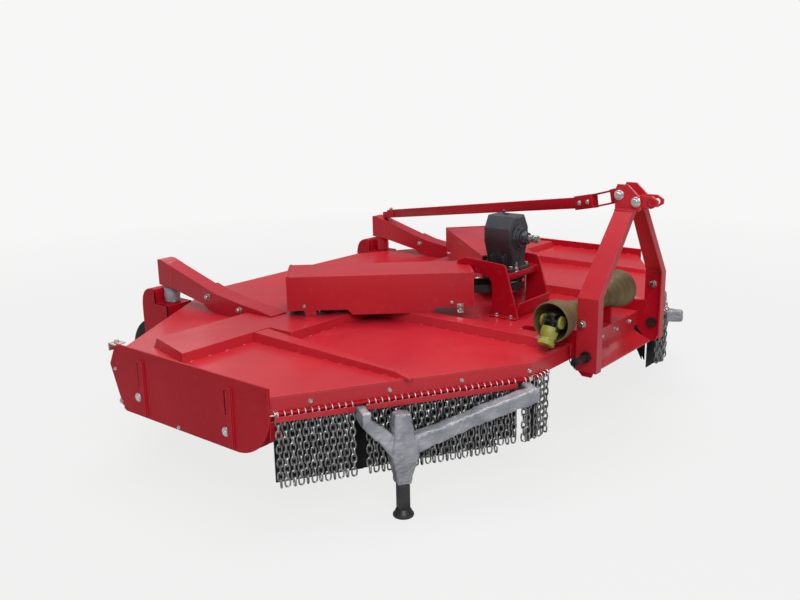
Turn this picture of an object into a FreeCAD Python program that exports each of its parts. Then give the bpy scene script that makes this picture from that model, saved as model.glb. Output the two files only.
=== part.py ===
# Twin-rotor rotary mower for a tractor's three-point linkage, standing on its
# front parking legs and its two rear caster wheels.
#
# Millimetres. +X runs to the machine's right, +Y to its rear, +Z up. The ground
# is z = 0 and the origin is under the middle of the whole machine. Every size
# of the machine is drawn with y = 0 at the deck's front edge, and each piece
# is then placed by the one size "front_y".
import FreeCAD, Part
import math
import os
import Sketcher

Vector = FreeCAD.Vector
doc = FreeCAD.newDocument("RotaryMower")
sheet = doc.addObject("Spreadsheet::Sheet", "Sizes")
pieces = []


# ------------------------------------------------------------------ sizes
class Size(float):
    """A number that remembers the spreadsheet formula that it came from."""

    def __new__(cls, value, formula):
        number = float.__new__(cls, value)
        number.formula = formula
        return number


def formula_of(value):
    return value.formula if isinstance(value, Size) else repr(float(value))


def operator(sign, work):
    def forward(a, b):
        return Size(work(float(a), float(b)), "(%s %s %s)" % (formula_of(a), sign, formula_of(b)))

    def backward(a, b):
        return forward(b, a)

    return forward, backward


Size.__add__, Size.__radd__ = operator("+", lambda a, b: a + b)
Size.__sub__, Size.__rsub__ = operator("-", lambda a, b: a - b)
Size.__mul__, Size.__rmul__ = operator("*", lambda a, b: a * b)
Size.__truediv__, Size.__rtruediv__ = operator("/", lambda a, b: a / b)
Size.__neg__ = lambda a: Size(-float(a), "(0 - %s)" % a.formula)


def tan(angle):
    return Size(math.tan(math.radians(angle)), "tan(%s)" % formula_of(angle))


def cos(angle):
    return Size(math.cos(math.radians(angle)), "cos(%s)" % formula_of(angle))


def sin(angle):
    return Size(math.sin(math.radians(angle)), "sin(%s)" % formula_of(angle))


def angle_of(rise, run):
    text = "(atan(%s / %s) / 1 deg)" % (formula_of(rise), formula_of(run))
    return Size(math.degrees(math.atan(rise / run)), text)


def hypotenuse(a, b):
    text = "sqrt(%s * %s + %s * %s)" % (formula_of(a), formula_of(a), formula_of(b), formula_of(b))
    return Size(math.hypot(a, b), text)


rows = []


def size(alias, value, note):
    rows.append(alias)
    row = len(rows)
    sheet.set("A%d" % row, note)
    sheet.set("B%d" % row, str(value))
    sheet.setAlias("B%d" % row, alias)
    return Size(value, "Sizes." + alias)


# ------------------------------------------------------------------ modelling
def new_body(label, x=0.0, y=0.0, z=0.0, turn=None):
    """A body whose own origin stands at x, y, z in the machine, turned about +Z."""
    body = doc.addObject("PartDesign::Body", "Body")
    body.Label = label
    place(body, x, y, z, turn)
    pieces.append(body)
    return body


def place(thing, x, y, z, turn=None):
    if turn is not None:
        thing.Placement = FreeCAD.Placement(Vector(0, 0, 0), FreeCAD.Rotation(Vector(0, 0, 1), float(turn)))
        if isinstance(turn, Size):
            thing.setExpression("Placement.Rotation.Angle", turn.formula)
    for key, value in (("x", x), ("y", front_y + y), ("z", z)):
        if isinstance(value, Size):
            thing.setExpression("Placement.Base." + key, value.formula)
        else:
            setattr(thing.Placement.Base, key, float(value))


def new_sketch(body, role, name, offset=0.0):
    """A sketch on one of the body's own planes, moved along the plane's normal."""
    sketch = body.newObject("Sketcher::SketchObject", name)
    plane = [each for each in body.Origin.OriginFeatures if each.Role == role][0]
    sketch.AttachmentSupport = (plane, [""])
    sketch.MapMode = "FlatFace"
    sketch.AttachmentOffset = FreeCAD.Placement(Vector(0, 0, float(offset)), FreeCAD.Rotation())
    if isinstance(offset, Size):
        sketch.setExpression("AttachmentOffset.Base.z", offset.formula)
    return sketch


def bind(sketch, kind, geometry, point, value):
    index = sketch.addConstraint(Sketcher.Constraint(kind, -1, 1, geometry, point, float(value)))
    if isinstance(value, Size):
        sketch.setExpression("Constraints[%d]" % index, value.formula)


def add_loop(sketch, points):
    """A closed outline of straight sides through the points."""
    first = sketch.GeometryCount
    count = len(points)
    for i, start in enumerate(points):
        end = points[(i + 1) % count]
        a = Vector(float(start[0]), float(start[1]), 0)
        b = Vector(float(end[0]), float(end[1]), 0)
        sketch.addGeometry(Part.LineSegment(a, b), False)
    for i in range(count):
        sketch.addConstraint(Sketcher.Constraint("Coincident", first + i, 2, first + (i + 1) % count, 1))
    for i, point in enumerate(points):
        bind(sketch, "DistanceX", first + i, 1, point[0])
        bind(sketch, "DistanceY", first + i, 1, point[1])


def add_circle(sketch, centre, radius):
    index = sketch.GeometryCount
    middle = Vector(float(centre[0]), float(centre[1]), 0)
    sketch.addGeometry(Part.Circle(middle, Vector(0, 0, 1), float(radius)), False)
    bind(sketch, "DistanceX", index, 3, centre[0])
    bind(sketch, "DistanceY", index, 3, centre[1])
    number = sketch.addConstraint(Sketcher.Constraint("Radius", index, float(radius)))
    if isinstance(radius, Size):
        sketch.setExpression("Constraints[%d]" % number, radius.formula)


def set_length(feature, name, value):
    setattr(feature, name, float(value))
    if isinstance(value, Size):
        feature.setExpression(name, value.formula)


def pad(body, sketch, length, name, midplane=False, backward=False):
    feature = body.newObject("PartDesign::Pad", name)
    feature.Profile = sketch
    feature.Midplane = midplane
    feature.Reversed = backward
    set_length(feature, "Length", length)
    return feature


def cut_through(body, sketch, name):
    feature = body.newObject("PartDesign::Pocket", name)
    feature.Profile = sketch
    feature.Type = "ThroughAll"
    feature.Midplane = True
    return feature


def cut_to(body, sketch, length, name, backward=False):
    feature = body.newObject("PartDesign::Pocket", name)
    feature.Profile = sketch
    feature.Reversed = backward
    set_length(feature, "Length", length)
    return feature


def revolve(body, sketch, name, axis="V_Axis"):
    feature = body.newObject("PartDesign::Revolution", name)
    feature.Profile = sketch
    feature.ReferenceAxis = (sketch, [axis])
    feature.Angle = 360
    return feature


def loft(body, sketches, name):
    feature = body.newObject("PartDesign::AdditiveLoft", name)
    feature.Profile = sketches[0]
    feature.Sections = sketches[1:]
    feature.Ruled = True
    return feature


def rectangle(x_low, x_high, y_low, y_high):
    return [(x_low, y_low), (x_high, y_low), (x_high, y_high), (x_low, y_high)]


def plate(label, role, points, thickness, offset=0.0, midplane=False, backward=False, **where):
    """A flat plate cut to an outline, as a body of its own."""
    body = new_body(label, **where)
    outline = new_sketch(body, role, "Outline", offset)
    add_loop(outline, points)
    pad(body, outline, thickness, "Plate", midplane, backward)
    return body


def turned(label, points, **where):
    """A piece turned about the vertical axis through its own origin."""
    body = new_body(label, **where)
    profile = new_sketch(body, "XZ_Plane", "Profile")
    add_loop(profile, points)
    revolve(body, profile, "Turning")
    return body


SIDES = (("left", -1), ("right", 1))

# ------------------------------------------------------------------ driving sizes
caster_y = size("caster_y", 2000, "caster's upright axis from the deck front")
trail = size("trail", 110, "wheel axle behind the caster's axis")
wheel_radius = size("wheel_radius", 200, "rear wheel")
rocker_pin_y = size("rocker_pin_y", -128, "top link bracket's pivot from the deck front")
link_reach = size("link_reach", 62, "top link hole ahead of the rocker's pivot")
ear_nose = size("ear_nose", 26, "top link bracket's nose beyond the hole")
front_y = (rocker_pin_y - link_reach - ear_nose + caster_y + trail + wheel_radius) * -0.5
half_width = size("half_width", 1530, "outer face of a side plate from the middle")
deck_depth = size("deck_depth", 2010, "deck, front edge to rear edge")
front_half = size("front_half", 640, "half of the straight front edge")
rear_half = size("rear_half", 600, "half of the straight rear edge")
side_front = size("side_front", 545, "side plate's front end from the deck front")
side_rear = size("side_rear", 1450, "side plate's rear end from the deck front")
deck_top = size("deck_top", 512, "deck's upper face above the ground")
deck_thick = size("deck_thick", 6, "deck plate")
side_thick = size("side_thick", 8, "side plate")
skirt_thick = size("skirt_thick", 6, "skirt plates under the deck's edge")
front_skirt_drop = size("front_skirt_drop", 62, "front skirt's height")
rear_skirt_drop = size("rear_skirt_drop", 120, "rear skirt's height")
side_top = size("side_top", 550, "side plate's upper edge above the ground")
side_bottom = size("side_bottom", 265, "side plate's lower edge above the ground")
skid_thick = size("skid_thick", 10, "skid shoe")
skid_wide = size("skid_wide", 70, "skid shoe's width")
beam_front = size("beam_front", 960, "cross beam's front wall between the outer ribs")
wing_front = size("wing_front", 1095, "cross beam's front wall outside the outer ribs")
beam_rear = size("beam_rear", 1380, "cross beam's rear wall")
beam_high = size("beam_high", 40, "cross beam's height")
beam_thick = size("beam_thick", 6, "cross beam's sheet")
rotor_x = size("rotor_x", 680, "rotor axis from the middle")
rotor_y = size("rotor_y", 1150, "rotor axis from the deck front")
shaft_y = size("shaft_y", 530, "drive shaft from the deck front")
tip_radius = size("tip_radius", 660, "blade tips from the rotor axis")
running = size("running", 0.05, "radial running clearance of a shaft in its bore")
gap = size("gap", 0.3, "gap between pieces that are seated with play")

deck_half = half_width - side_thick
deck_under = deck_top - deck_thick
front_angle = angle_of(side_front, deck_half - front_half)
rear_angle = angle_of(deck_depth - side_rear, deck_half - rear_half)
beam_top = deck_top + beam_high

# ------------------------------------------------------------------ deck
spindle_radius = size("spindle_radius", 60, "outside of a spindle housing")
housing_gap = spindle_radius + gap


def both_spindles(body, name):
    holes = new_sketch(body, "XY_Plane", name + "Sketch")
    for _, side in SIDES:
        add_circle(holes, (side * rotor_x, rotor_y), housing_gap)
    cut_through(body, holes, name)


deck = plate("deck_plate", "XY_Plane", [
    (-front_half, 0), (front_half, 0), (deck_half, side_front), (deck_half, side_rear),
    (rear_half, deck_depth), (-rear_half, deck_depth), (-deck_half, side_rear), (-deck_half, side_front),
], deck_thick, z=deck_under)
both_spindles(deck, "SpindleHoles")


def skirt(label, edge_y, half, corner_y, angle, inward, drop):
    """A bent strip under three edges of the deck, from side plate to side plate."""
    corner_in = half - skirt_thick * tan(angle * 0.5)
    end_in = corner_y + inward * skirt_thick / cos(angle)
    inner_y = edge_y + inward * skirt_thick
    points = [
        (-deck_half, corner_y), (-half, edge_y), (half, edge_y), (deck_half, corner_y),
        (deck_half, end_in), (corner_in, inner_y), (-corner_in, inner_y), (-deck_half, end_in),
    ]
    return plate(label, "XY_Plane", points, drop, z=deck_under - drop)


skirt("front_skirt", 0.0, front_half, side_front, front_angle, 1, front_skirt_drop)
skirt("rear_skirt", deck_depth, rear_half, side_rear, rear_angle, -1, rear_skirt_drop)

# ------------------------------------------------------------------ side plates and skids
nose_round = size("nose_round", 190, "side plate's rounded lower front corner")
tail_out = size("tail_out", 50, "side plate's tail beyond its upper edge")
tail_high = size("tail_high", 455, "height of the tail's point")
slot_half = size("slot_half", 7, "adjusting slot's half width")
slot_long = size("slot_long", 100, "adjusting slot's length")
slot_front = size("slot_front", 769, "front adjusting slot from the deck front")
slot_rear = size("slot_rear", 1304, "rear adjusting slot from the deck front")
strap_wide = size("strap_wide", 26, "strap beside each slot")
strap_thick = size("strap_thick", 8, "strap's thickness")
strap_step = size("strap_step", 6, "strap beside its slot")
strap_foot = size("strap_foot", 10, "strap above the plate's lower edge")
strap_head = size("strap_head", 40, "strap below the plate's upper edge")
slot_head = size("slot_head", 55, "slot below the plate's upper edge")
plate_lead = size("plate_lead", 14, "side plate ahead of the deck's corner")
heel_in = size("heel_in", 35, "cut of the side plate's lower rear corner")
heel_high = size("heel_high", 60, "height of that cut")
heel_gap = size("heel_gap", 10, "skid's end ahead of the side plate's rear edge")
toe_low = size("toe_low", 70, "underside of the skid's raised toe above the plate's edge")
toe_out = size("toe_out", 30, "skid's raised toe behind the deck's corner")

plate_front = side_front - plate_lead
slot_top = side_top - slot_head


def fillet_at(body, radius, test, name):
    """Rounds the edges of the body's last shape whose middle passes the test."""
    doc.recompute()
    base = body.Tip
    names = []
    for number, edge in enumerate(base.Shape.Edges, 1):
        middle = edge.CenterOfMass
        if test(middle, edge):
            names.append("Edge%d" % number)
    feature = body.newObject("PartDesign::Fillet", name)
    feature.Base = (base, names)
    set_length(feature, "Radius", radius)
    return feature


for name, side in SIDES:
    body = new_body("side_plate_" + name, x=side * (half_width - side_thick * 0.5))
    outline = new_sketch(body, "YZ_Plane", "Outline")
    add_loop(outline, [
        (plate_front, side_top), (plate_front, side_bottom), (side_rear - heel_in, side_bottom),
        (side_rear, side_bottom + heel_high), (side_rear + tail_out, tail_high), (side_rear, side_top),
    ])
    pad(body, outline, side_thick, "Plate", midplane=True)
    slots = new_sketch(body, "YZ_Plane", "Slots")
    for slot_y in (slot_front, slot_rear):
        add_loop(slots, rectangle(slot_y - slot_half, slot_y + slot_half, slot_top - slot_long, slot_top))
    cut_through(body, slots, "SlotCuts")
    straps = new_sketch(body, "YZ_Plane", "Straps", side * side_thick * 0.5)
    for slot_y in (slot_front, slot_rear):
        strap_y = slot_y - slot_half - strap_step
        add_loop(straps, rectangle(strap_y - strap_wide, strap_y,
                                   side_bottom + strap_foot, side_top - strap_head))
    pad(body, straps, strap_thick, "StrapPads", backward=(side < 0))
    fillet_at(body, nose_round, lambda middle, edge: abs(middle.y - plate_front) < 1
              and abs(middle.z - side_bottom) < 1, "NoseRound")

    skid = new_body("skid_" + name, x=side * (half_width - side_thick - skid_wide * 0.5))
    path = new_sketch(skid, "YZ_Plane", "Section")
    skid_top = side_bottom + skid_thick
    add_loop(path, [
        (side_front + nose_round * 0.75, side_bottom), (side_rear - heel_gap, side_bottom),
        (side_rear - heel_gap, skid_top), (side_front + nose_round * 0.8, skid_top),
        (side_front + toe_out + skid_thick, side_bottom + toe_low + skid_thick),
        (side_front + toe_out, side_bottom + toe_low),
    ])
    pad(skid, path, skid_wide, "Shoe", midplane=True)

# ------------------------------------------------------------------ cross beam and ribs
beam_half = size("beam_half", 1462, "cross beam's end from the middle, at its front wall")
beam_slant = size("beam_slant", 70, "slant of the beam's ends")
beam_slope = size("beam_slope", 10, "lean of the beam's walls")
rib_outer = size("rib_outer", 1092, "outer rib's outer wall from the middle")
rib_inner = size("rib_inner", 1000, "outer rib's inner wall at the beam")
rib_tip = size("rib_tip", 1066, "outer rib's inner wall at its front end")
rib_front = size("rib_front", 250, "outer rib's front end")
rib_front_high = size("rib_front_high", 22, "outer rib's height near its front end")
inner_rib_outer = size("inner_rib_outer", 465, "inner rib's outer wall")
inner_rib_inner = size("inner_rib_inner", 375, "inner rib's inner wall")
inner_rib_front = size("inner_rib_front", 30, "inner rib's front end")
rib_ramp = size("rib_ramp", 70, "slope at a rib's front end")
rib_slope = size("rib_slope", 9, "lean of the ribs' walls")
rib_end_high = size("rib_end_high", 8, "height of a rib's front edge")
rib_thick = size("rib_thick", 4, "rib's sheet")


def beam_outline(inset):
    """The beam's outline, wider between the outer ribs, moved inwards by a distance."""
    wing, tip = beam_half - inset, beam_half - beam_slant - inset
    step = rib_inner - inset
    front, wing_y, rear = beam_front + inset, wing_front + inset, beam_rear - inset
    return [(-wing, wing_y), (-step, wing_y), (-step, front), (step, front), (step, wing_y),
            (wing, wing_y), (tip, rear), (-tip, rear)]


def hollow_loft(body, sketches, name):
    feature = body.newObject("PartDesign::SubtractiveLoft", name)
    feature.Profile = sketches[0]
    feature.Sections = sketches[1:]
    feature.Ruled = True
    return feature


body = new_body("cross_beam")
foot = new_sketch(body, "XY_Plane", "Foot", deck_top)
add_loop(foot, beam_outline(0.0))
crown = new_sketch(body, "XY_Plane", "Crown", beam_top)
add_loop(crown, beam_outline(beam_slope))
loft(body, [foot, crown], "Hat")
foot_in = new_sketch(body, "XY_Plane", "FootInside", deck_top)
add_loop(foot_in, beam_outline(beam_thick))
crown_in = new_sketch(body, "XY_Plane", "CrownInside", beam_top - beam_thick)
add_loop(crown_in, beam_outline(beam_slope + beam_thick))
hollow_loft(body, [foot_in, crown_in], "Inside")
both_spindles(body, "SpindleHoles")


def hat_rib(label, side, outer, inner, tip, front, near_high, rear):
    """A folded channel that runs ahead of the cross beam and slopes down at its front end."""
    body = new_body(label)
    for step, inset in (("Outside", 0.0), ("Inside", rib_thick)):
        sections = []
        for tag, y, inner_x, high in (("Front", front, tip, rib_end_high),
                                      ("Ramp", front + rib_ramp, tip, near_high),
                                      ("Rear", rear - gap, inner, beam_high)):
            lean = high * rib_slope / beam_high
            section = new_sketch(body, "XZ_Plane", step + tag, -y)
            top = deck_top + high - inset
            add_loop(section, [
                (side * (inner_x + inset), deck_top), (side * (outer - inset), deck_top),
                (side * (outer - inset - lean), top), (side * (inner_x + inset + lean), top),
            ])
            sections.append(section)
        if inset:
            hollow_loft(body, sections, step)
        else:
            loft(body, sections, step)


for name, side in SIDES:
    hat_rib("outer_rib_" + name, side, rib_outer, rib_inner + gap, rib_tip, rib_front, rib_front_high,
            wing_front)
    hat_rib("inner_rib_" + name, side, inner_rib_outer, inner_rib_inner, inner_rib_inner, inner_rib_front,
            beam_high, beam_front)

# ------------------------------------------------------------------ gearbox stand
stand_half = size("stand_half", 150, "stand plate's outer face from the middle")
stand_thick = size("stand_thick", 8, "stand plates")
stand_top = size("stand_top", 760, "top of the stand above the ground")
column_front = size("column_front", 385, "front of the stand's column at the deck")
column_rear = size("column_rear", 505, "rear of the stand's column at the deck")
shelf_front = size("shelf_front", 360, "front of the gearbox shelf")
shelf_rear = size("shelf_rear", 610, "rear of the gearbox shelf")
horn_rear = size("horn_rear", 710, "tip of the stand's rear horn, over the belt covers")
horn_high = size("horn_high", 20, "depth of the stand's rear horn")
cross_high = size("cross_high", 66, "height of the folded cross plate")
cross_fold = size("cross_fold", 34, "cross plate's folded lip")
horn_root = size("horn_root", 70, "start of the rear horn behind the column")
shaft_radius = size("shaft_radius", 20, "drive shaft")
box_half = size("box_half", 80, "gearbox's half width")

body = new_body("gearbox_stand")
side_outline = [
    (column_front, deck_top), (column_rear, deck_top), (column_rear, stand_top - horn_high * 5),
    (column_rear + horn_root, stand_top - horn_high), (horn_rear, stand_top - horn_high * 0.85),
    (horn_rear, stand_top), (shelf_front, stand_top), (shelf_front, stand_top - horn_high * 2.5),
    (column_front, stand_top - horn_high * 5),
]
inner = stand_half - stand_thick
for tag, way in (("Right", 1), ("Left", -1)):
    outline = new_sketch(body, "YZ_Plane", tag + "Outline", way * stand_half)
    add_loop(outline, side_outline)
    pad(body, outline, stand_thick, tag + "Plate", backward=(way > 0))
shelf = new_sketch(body, "XY_Plane", "Shelf", stand_top - stand_thick)
add_loop(shelf, rectangle(-inner, inner, shelf_front, shelf_rear))
add_circle(shelf, (0.0, shaft_y), shaft_radius * 2)
pad(body, shelf, stand_thick, "ShelfPlate")
front = new_sketch(body, "YZ_Plane", "CrossSection", -inner)
cross_top = deck_top + cross_high
add_loop(front, [
    (column_front, deck_top), (column_front + stand_thick, deck_top), (column_front + stand_thick, cross_top),
    (column_front + cross_fold, cross_top), (column_front + cross_fold, cross_top + stand_thick),
    (column_front, cross_top + stand_thick),
])
pad(body, front, inner * 2, "CrossPlate")

# ------------------------------------------------------------------ gearbox
box_front = size("box_front", 455, "gearbox's front face")
box_rear = size("box_rear", 605, "gearbox's rear face")
box_high = size("box_high", 212, "gearbox's height")
box_cant = size("box_cant", 40, "slope of the gearbox's shoulders")
flange_high = size("flange_high", 16, "gearbox's foot flange")
flange_over = size("flange_over", 22, "foot flange beyond the casing")
input_z = size("input_z", 860, "input shaft above the ground")
input_radius = size("input_radius", 17.5, "input shaft's free end, cat 2 spline")
input_long = size("input_long", 80, "free length of the input shaft")
journal_radius = size("journal_radius", 24, "input shaft inside the casing")
cap_radius = size("cap_radius", 48, "bearing cap")
cap_long = size("cap_long", 22, "bearing cap ahead of the casing")
fin_thick = size("fin_thick", 9, "casting ribs")
neck_long = size("neck_long", 24, "gearbox's neck below the shelf")
shaft_up = size("shaft_up", 60, "drive shaft's end above the shelf")
journal_in = size("journal_in", 34, "input journal's length inside the casing")
waist = size("waist", 0.72, "casting's width at its foot, as a share")
corner_share = size("corner_share", 0.3, "casting's chamfered corners, as a share of its half width")
crown_share = size("crown_share", 0.58, "casting's width at its top, as a share")
belly_share = size("belly_share", 0.36, "height of the casting's full width, as a share")
end_play = size("end_play", 2, "length of a bore beyond the shaft's end")

body = new_body("gearbox")
box_middle = (box_front + box_rear) * 0.5
box_deep = (box_rear - box_front) * 0.5
box_top = stand_top + box_high
sections = []
for tag, z, share in (("Waist", stand_top + flange_high, waist),
                      ("Belly", stand_top + box_high * belly_share, 1.0),
                      ("Shoulder", box_top - box_cant, 1.0), ("Crown", box_top, crown_share)):
    level = new_sketch(body, "XY_Plane", tag, z)
    wide, deep = box_half * share, box_deep * share
    chamfer = box_half * corner_share
    add_loop(level, [
        (-wide, box_middle - deep + chamfer), (-wide + chamfer, box_middle - deep),
        (wide - chamfer, box_middle - deep), (wide, box_middle - deep + chamfer),
        (wide, box_middle + deep - chamfer), (wide - chamfer, box_middle + deep),
        (-wide + chamfer, box_middle + deep), (-wide, box_middle + deep - chamfer),
    ])
    sections.append(level)
loft(body, sections, "Case")
foot = new_sketch(body, "XY_Plane", "FootFlange", stand_top)
foot_wide = box_half * waist + flange_over
foot_deep = box_deep * waist + flange_over
add_loop(foot, rectangle(-foot_wide, foot_wide, box_middle - foot_deep, box_middle + foot_deep))
pad(body, foot, flange_high, "FootPad")
for tag, offset, long, back in (("Front", box_middle, box_deep + cap_long, False),
                                ("Back", box_middle, box_deep + cap_long * 0.6, True)):
    cap = new_sketch(body, "XZ_Plane", tag + "Cap", -offset)
    add_circle(cap, (0.0, input_z), cap_radius)
    pad(body, cap, long, tag + "CapPad", backward=back)
fins = new_sketch(body, "YZ_Plane", "Fins")
fin_low = stand_top + flange_high - end_play
add_loop(fins, [
    (box_middle - foot_deep, fin_low), (box_middle + foot_deep, fin_low),
    (box_rear + fin_thick, input_z), (box_front - fin_thick, input_z),
])
pad(body, fins, fin_thick, "FinPad", midplane=True)
neck = new_sketch(body, "XY_Plane", "Neck", stand_top)
add_circle(neck, (0.0, shaft_y), shaft_radius * 1.8)
pad(body, neck, neck_long, "LowerNeck", backward=True)
cap_face = box_front - cap_long
journal_long = cap_long + journal_in
bore = new_sketch(body, "XZ_Plane", "InputBore", -cap_face)
add_circle(bore, (0.0, input_z), journal_radius + running)
cut_to(body, bore, journal_long + end_play, "InputHole")
bore = new_sketch(body, "XY_Plane", "OutputBore", stand_top - neck_long - end_play)
add_circle(bore, (0.0, shaft_y), shaft_radius + running)
cut_to(body, bore, neck_long + shaft_up + end_play * 2, "OutputHole", backward=True)

# ------------------------------------------------------------------ drive and input shafts
pulley_radius = size("pulley_radius", 66, "both sizes of pulley")
pulley_step = size("pulley_step", 12, "pulley's bevelled rims")
belt_thick = size("belt_thick", 10, "belt")
belt_wide = size("belt_wide", 34, "belt band")
belt_low = size("belt_low", 612, "lower belt's underside")
belt_step = size("belt_step", 44, "upper belt above the lower one")
flank = size("flank", 6, "pulley's flange beyond its belt")
hub_over = size("hub_over", 18, "pulley's hub beyond its shaft")
hub_taper = size("hub_taper", 16, "height of the hub's taper")

sheave_top = belt_low + belt_step + belt_wide + flank
turned("drive_shaft", [
    (0.0, belt_low - flank * 2), (pulley_radius - pulley_step, belt_low - flank * 2),
    (pulley_radius, belt_low - flank), (pulley_radius, sheave_top), (shaft_radius + hub_over, sheave_top),
    (shaft_radius, sheave_top + hub_taper), (shaft_radius, stand_top + shaft_up), (0.0, stand_top + shaft_up),
], y=shaft_y)

body = new_body("input_shaft")
journal = new_sketch(body, "XZ_Plane", "Journal", -cap_face)
add_circle(journal, (0.0, input_z), journal_radius)
pad(body, journal, journal_long, "JournalPad", backward=True)
shaft = new_sketch(body, "XZ_Plane", "Shaft", -cap_face - journal_in * 0.5)
add_circle(shaft, (0.0, input_z), input_radius)
pad(body, shaft, input_long + journal_in * 0.5, "ShaftPad")

# ------------------------------------------------------------------ spindles and rotors
flange_radius = size("flange_radius", 92, "spindle housing's flange")
spindle_shaft = size("spindle_shaft", 28, "rotor shaft")
carrier_z = size("carrier_z", 330, "underside of the blade carrier")
carrier_thick = size("carrier_thick", 16, "blade carrier")
blade_thick = size("blade_thick", 10, "swinging blade")
blade_pivot = size("blade_pivot", 400, "blade bolt from the rotor axis")
housing_drop = size("housing_drop", 55, "spindle housing below the deck")
housing_step = size("housing_step", 12, "steps and flange of a spindle housing")
cup_radius = size("cup_radius", 46, "cup on the rotor's lower end")
cup_high = size("cup_high", 26, "height of that cup")
boss_radius = size("boss_radius", 90, "rotor's boss at the carrier")
boss_top = size("boss_top", 62, "rotor's boss at its top")
boss_high = size("boss_high", 20, "height of the boss's slope")
carrier_root = size("carrier_root", 62, "carrier's half width at its root")
carrier_end = size("carrier_end", 38, "carrier's half width at its ends")
carrier_shoulder = size("carrier_shoulder", 150, "end of the carrier's wide root")
carrier_over = size("carrier_over", 50, "carrier beyond the blade bolts")
blade_shank = size("blade_shank", 45, "blade's shank behind and beside its bolt")
blade_tip_in = size("blade_tip_in", 6, "blade's square end inside the tip circle")
blade_slope = size("blade_slope", 60, "start of the blade's sharpened slope")
blade_edge = size("blade_edge", 20, "cutting edge from the blade's middle line")

housing_low = deck_under - housing_drop
shaft_hole = spindle_shaft + running
for name, side in SIDES:
    turned("spindle_" + name, [
        (shaft_hole, housing_low), (spindle_radius - housing_step, housing_low),
        (spindle_radius, housing_low + housing_step), (spindle_radius, beam_top), (flange_radius, beam_top),
        (flange_radius, beam_top + housing_step), (shaft_hole, beam_top + housing_step),
    ], x=side * rotor_x, y=rotor_y)

    pulley_low = belt_low + (belt_step if side > 0 else 0.0)
    pulley_in = pulley_radius - pulley_step
    rotor = turned("rotor_" + name, [
        (0.0, carrier_z - cup_high), (cup_radius, carrier_z - cup_high), (cup_radius, carrier_z),
        (boss_radius, carrier_z), (boss_radius, carrier_z + carrier_thick),
        (boss_top, carrier_z + carrier_thick + boss_high),
        (spindle_shaft + housing_step, housing_low - housing_step),
        (spindle_shaft, housing_low - housing_step), (spindle_shaft, pulley_low - pulley_step),
        (pulley_in, pulley_low - pulley_step), (pulley_radius, pulley_low - flank),
        (pulley_radius, pulley_low + belt_wide + flank * 0.5), (pulley_in, pulley_low + belt_wide + flank),
        (0.0, pulley_low + belt_wide + flank),
    ], x=side * rotor_x, y=rotor_y)
    arms = new_sketch(rotor, "XY_Plane", "Carrier", carrier_z)
    reach = blade_pivot + carrier_over
    add_loop(arms, [
        (-reach, -carrier_end), (-carrier_shoulder, -carrier_root), (carrier_shoulder, -carrier_root),
        (reach, -carrier_end), (reach, carrier_end), (carrier_shoulder, carrier_root),
        (-carrier_shoulder, carrier_root), (-reach, carrier_end),
    ])
    pad(rotor, arms, carrier_thick, "CarrierBar")

    blades = new_body("blades_" + name, x=side * rotor_x, y=rotor_y)
    for tag, way in (("A", 1), ("B", -1)):
        blade = new_sketch(blades, "XY_Plane", "Blade" + tag, carrier_z - gap)
        root, tip = way * (blade_pivot - blade_shank), way * (tip_radius - blade_tip_in)
        add_loop(blade, [
            (root, way * -blade_shank), (tip, way * -blade_shank), (tip, way * blade_edge),
            (way * (blade_pivot + blade_slope), way * blade_shank), (root, way * blade_shank),
        ])
        pad(blades, blade, blade_thick, "BladePad" + tag, backward=True)

# ------------------------------------------------------------------ belts and their covers
belt_run = hypotenuse(rotor_x, rotor_y - shaft_y)
belt_angle = angle_of(rotor_y - shaft_y, rotor_x)
cover_half = size("cover_half", 132, "belt cover's half width")
cover_top = size("cover_top", 734, "belt cover's top above the ground")
cover_start = size("cover_start", 180, "belt cover's inner end from the drive shaft")
cover_over = size("cover_over", 105, "belt cover beyond the rotor axis")
cover_thick = size("cover_thick", 3, "belt cover's sheet")
cover_swing = size("cover_swing", 6, "belt cover's turn against its belt")
cover_low = size("cover_low", 577, "lower edge of the cover's walls above the ground")
cover_foot = size("cover_foot", 25, "half width of the cover's feet")

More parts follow.
